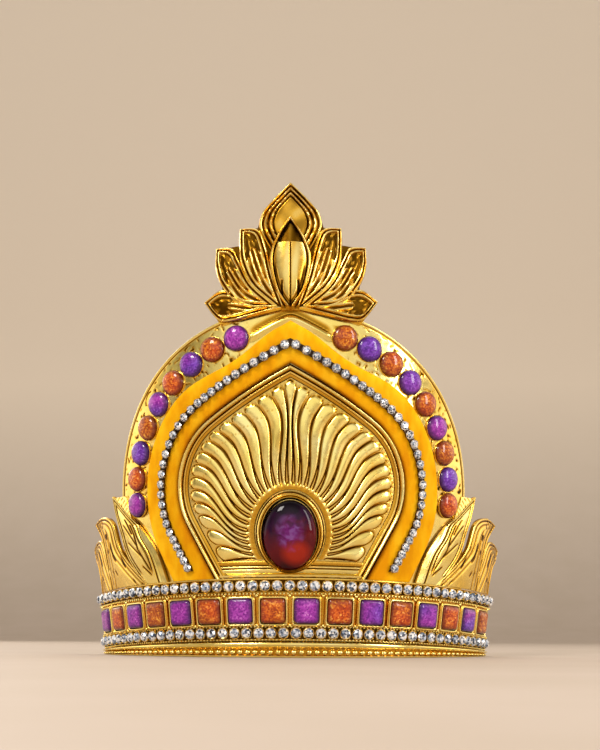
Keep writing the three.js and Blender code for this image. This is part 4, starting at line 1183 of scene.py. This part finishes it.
# The floor: one pale painted board, swept up into a wall well behind the crown. Matt paint hardly
# shines, and its tone varies a little.
FLOOR_HALF_WIDTH = 4.0
FLOOR_FRONT = -2.5
SWEEP_START = 1.2
SWEEP_RADIUS = 0.8
SWEEP_STEPS = 12
WALL_HEIGHT = 2.2
PALER_OVER = 0.6  # the paint grows paler up to this height
paint, tree, shader = new_material("matt_paint", Roughness=0.7)
spot = add_node(tree, "ShaderNodeTexCoord").outputs["Object"]
mottle = add_node(tree, "ShaderNodeTexNoise", {"Vector": spot, "Scale": 1 / 0.06, "Detail": 3.0})
coat = add_node(
    tree, "ShaderNodeValToRGB", {"Fac": mottle.outputs["Fac"]}, stops=[(0.3, "B4A698"), (0.7, "BAACA0")])
height = add_node(tree, "ShaderNodeSeparateXYZ", {"Vector": spot}).outputs["Z"]
risen = add_node(tree, "ShaderNodeMapRange", {"Value": height, "From Max": PALER_OVER})
paler = add_node(
    tree, "ShaderNodeMix", {0: risen.outputs["Result"], 6: coat.outputs["Color"], 7: linear("F6E6D2")},
    data_type="RGBA")
tree.links.new(paler.outputs[2], shader.inputs["Base Color"])
board = bmesh.new()
front = board.verts.new((-FLOOR_HALF_WIDTH, FLOOR_FRONT, 0))
bend = board.verts.new((-FLOOR_HALF_WIDTH, SWEEP_START, 0))
board.edges.new((front, bend))
sweep = bmesh.ops.spin(
    board, geom=[bend], cent=(0, SWEEP_START, SWEEP_RADIUS), axis=(1, 0, 0), angle=pi / 2,
    steps=SWEEP_STEPS)
top = [item for item in sweep["geom_last"] if isinstance(item, bmesh.types.BMVert)]
wall = bmesh.ops.extrude_vert_indiv(board, verts=top)["verts"]
bmesh.ops.translate(board, verts=wall, vec=(0, 0, WALL_HEIGHT))
grown = bmesh.ops.extrude_edge_only(board, edges=board.edges[:])["geom"]
far = [item for item in grown if isinstance(item, bmesh.types.BMVert)]
bmesh.ops.translate(board, verts=far, vec=(2 * FLOOR_HALF_WIDTH, 0, 0))
floor_mesh = bpy.data.meshes.new("floor")
board.to_mesh(floor_mesh)
board.free()
floor_mesh.materials.append(paint)
floor_mesh.shade_smooth()
floor_board = bpy.data.objects.new("floor", floor_mesh)
bpy.context.scene.collection.objects.link(floor_board)


# Studio light: a soft box high at the left, a tall one at the right, one overhead, one behind and a
# wide one at each side for the gold to mirror, in a pale room that is brightest in front of the crown.
def soft_box(name, place, target, size, power, colour):
    light = bpy.data.lights.new(name, "AREA")
    light.shape = "RECTANGLE"
    light.size, light.size_y = size
    light.energy = power
    light.color = linear(colour)[:3]
    lamp = bpy.data.objects.new(name, light)
    lamp.visible_camera = False
    lamp.location = place
    lamp.rotation_euler = (Vector(target) - Vector(place)).to_track_quat("-Z", "Y").to_euler()
    bpy.context.scene.collection.objects.link(lamp)


CROWN_MIDDLE = (0.0, -0.01, 0.075)
ROOM_STRENGTH = 1.15
soft_box("key", (-0.42, -0.62, 0.62), CROWN_MIDDLE, (0.24, 0.24), 4.5, "FFF9F2")
soft_box("fill", (0.62, -0.42, 0.32), CROWN_MIDDLE, (0.16, 0.55), 3.0, "FFF9F2")
soft_box("top", (0.0, 0.05, 0.85), CROWN_MIDDLE, (0.6, 0.4), 1.5, "FFF8F0")
soft_box("back", (-0.5, 0.6, 0.45), CROWN_MIDDLE, (0.4, 0.4), 2.0, "FFF9F2")
for side in (-1, 1):
    soft_box("side", (0.95 * side, 0.25, 0.15), CROWN_MIDDLE, (0.9, 0.8), 2.3, "FFF2D8")

world = bpy.data.worlds.new("studio")
world.use_nodes = True
bpy.context.scene.world = world
tree = world.node_tree
direction = add_node(tree, "ShaderNodeTexCoord").outputs["Generated"]
towards = add_node(tree, "ShaderNodeSeparateXYZ", {"Vector": direction})
facing = add_node(
    tree, "ShaderNodeMapRange", {"Value": towards.outputs["Y"], "From Min": 1.0, "From Max": -1.0})
room = add_node(
    tree, "ShaderNodeValToRGB", {"Fac": facing.outputs["Result"]},
    stops=[(0.0, "D8CCBE"), (0.3, "DCD2C6"), (0.45, "E8E0D6"), (0.55, "DED4C8"), (0.66, "C2BAAE"),
           (0.77, "7C746A"), (0.86, "B4ACA2"), (0.93, "F2EEE8"), (1.0, "FFFDF8")])
backdrop = tree.nodes["Background"]
backdrop.inputs["Strength"].default_value = ROOM_STRENGTH
tree.links.new(room.outputs["Color"], backdrop.inputs["Color"])


# The camera stands just above the floor, a little right of the middle, and looks slightly up. Its
# lens is shifted, so that the crown lies low in the picture.
EYE_DISTANCE = 0.4229  # from the axis that the sheet is bent round
EYE_TURN = radians(1.59)
EYE_HEIGHT = 0.007
PITCH = radians(9.65)
ROLL = radians(0.3)
PICTURE_HEIGHT = 750  # in pixels
FOCAL_PIXELS = 1010
SHIFT_PIXELS = (2.8, 90)
SENSOR_WIDTH = 36.0

camera = bpy.data.objects.new("camera", bpy.data.cameras.new("camera"))
camera.location = (EYE_DISTANCE * sin(EYE_TURN), AXIS_Y * MM - EYE_DISTANCE * cos(EYE_TURN), EYE_HEIGHT)
gaze = Vector((-sin(EYE_TURN) * cos(PITCH), cos(EYE_TURN) * cos(PITCH), sin(PITCH)))
camera.rotation_euler = (gaze.to_track_quat("-Z", "Y") @ Quaternion((0, 0, 1), ROLL)).to_euler()
camera.data.sensor_width = SENSOR_WIDTH
camera.data.lens = FOCAL_PIXELS / PICTURE_HEIGHT * SENSOR_WIDTH
camera.data.shift_x, camera.data.shift_y = (pixels / PICTURE_HEIGHT for pixels in SHIFT_PIXELS)
camera.data.clip_start = 0.01
bpy.context.scene.collection.objects.link(camera)
bpy.context.scene.camera = camera
bpy.context.scene.view_settings.view_transform = "Standard"
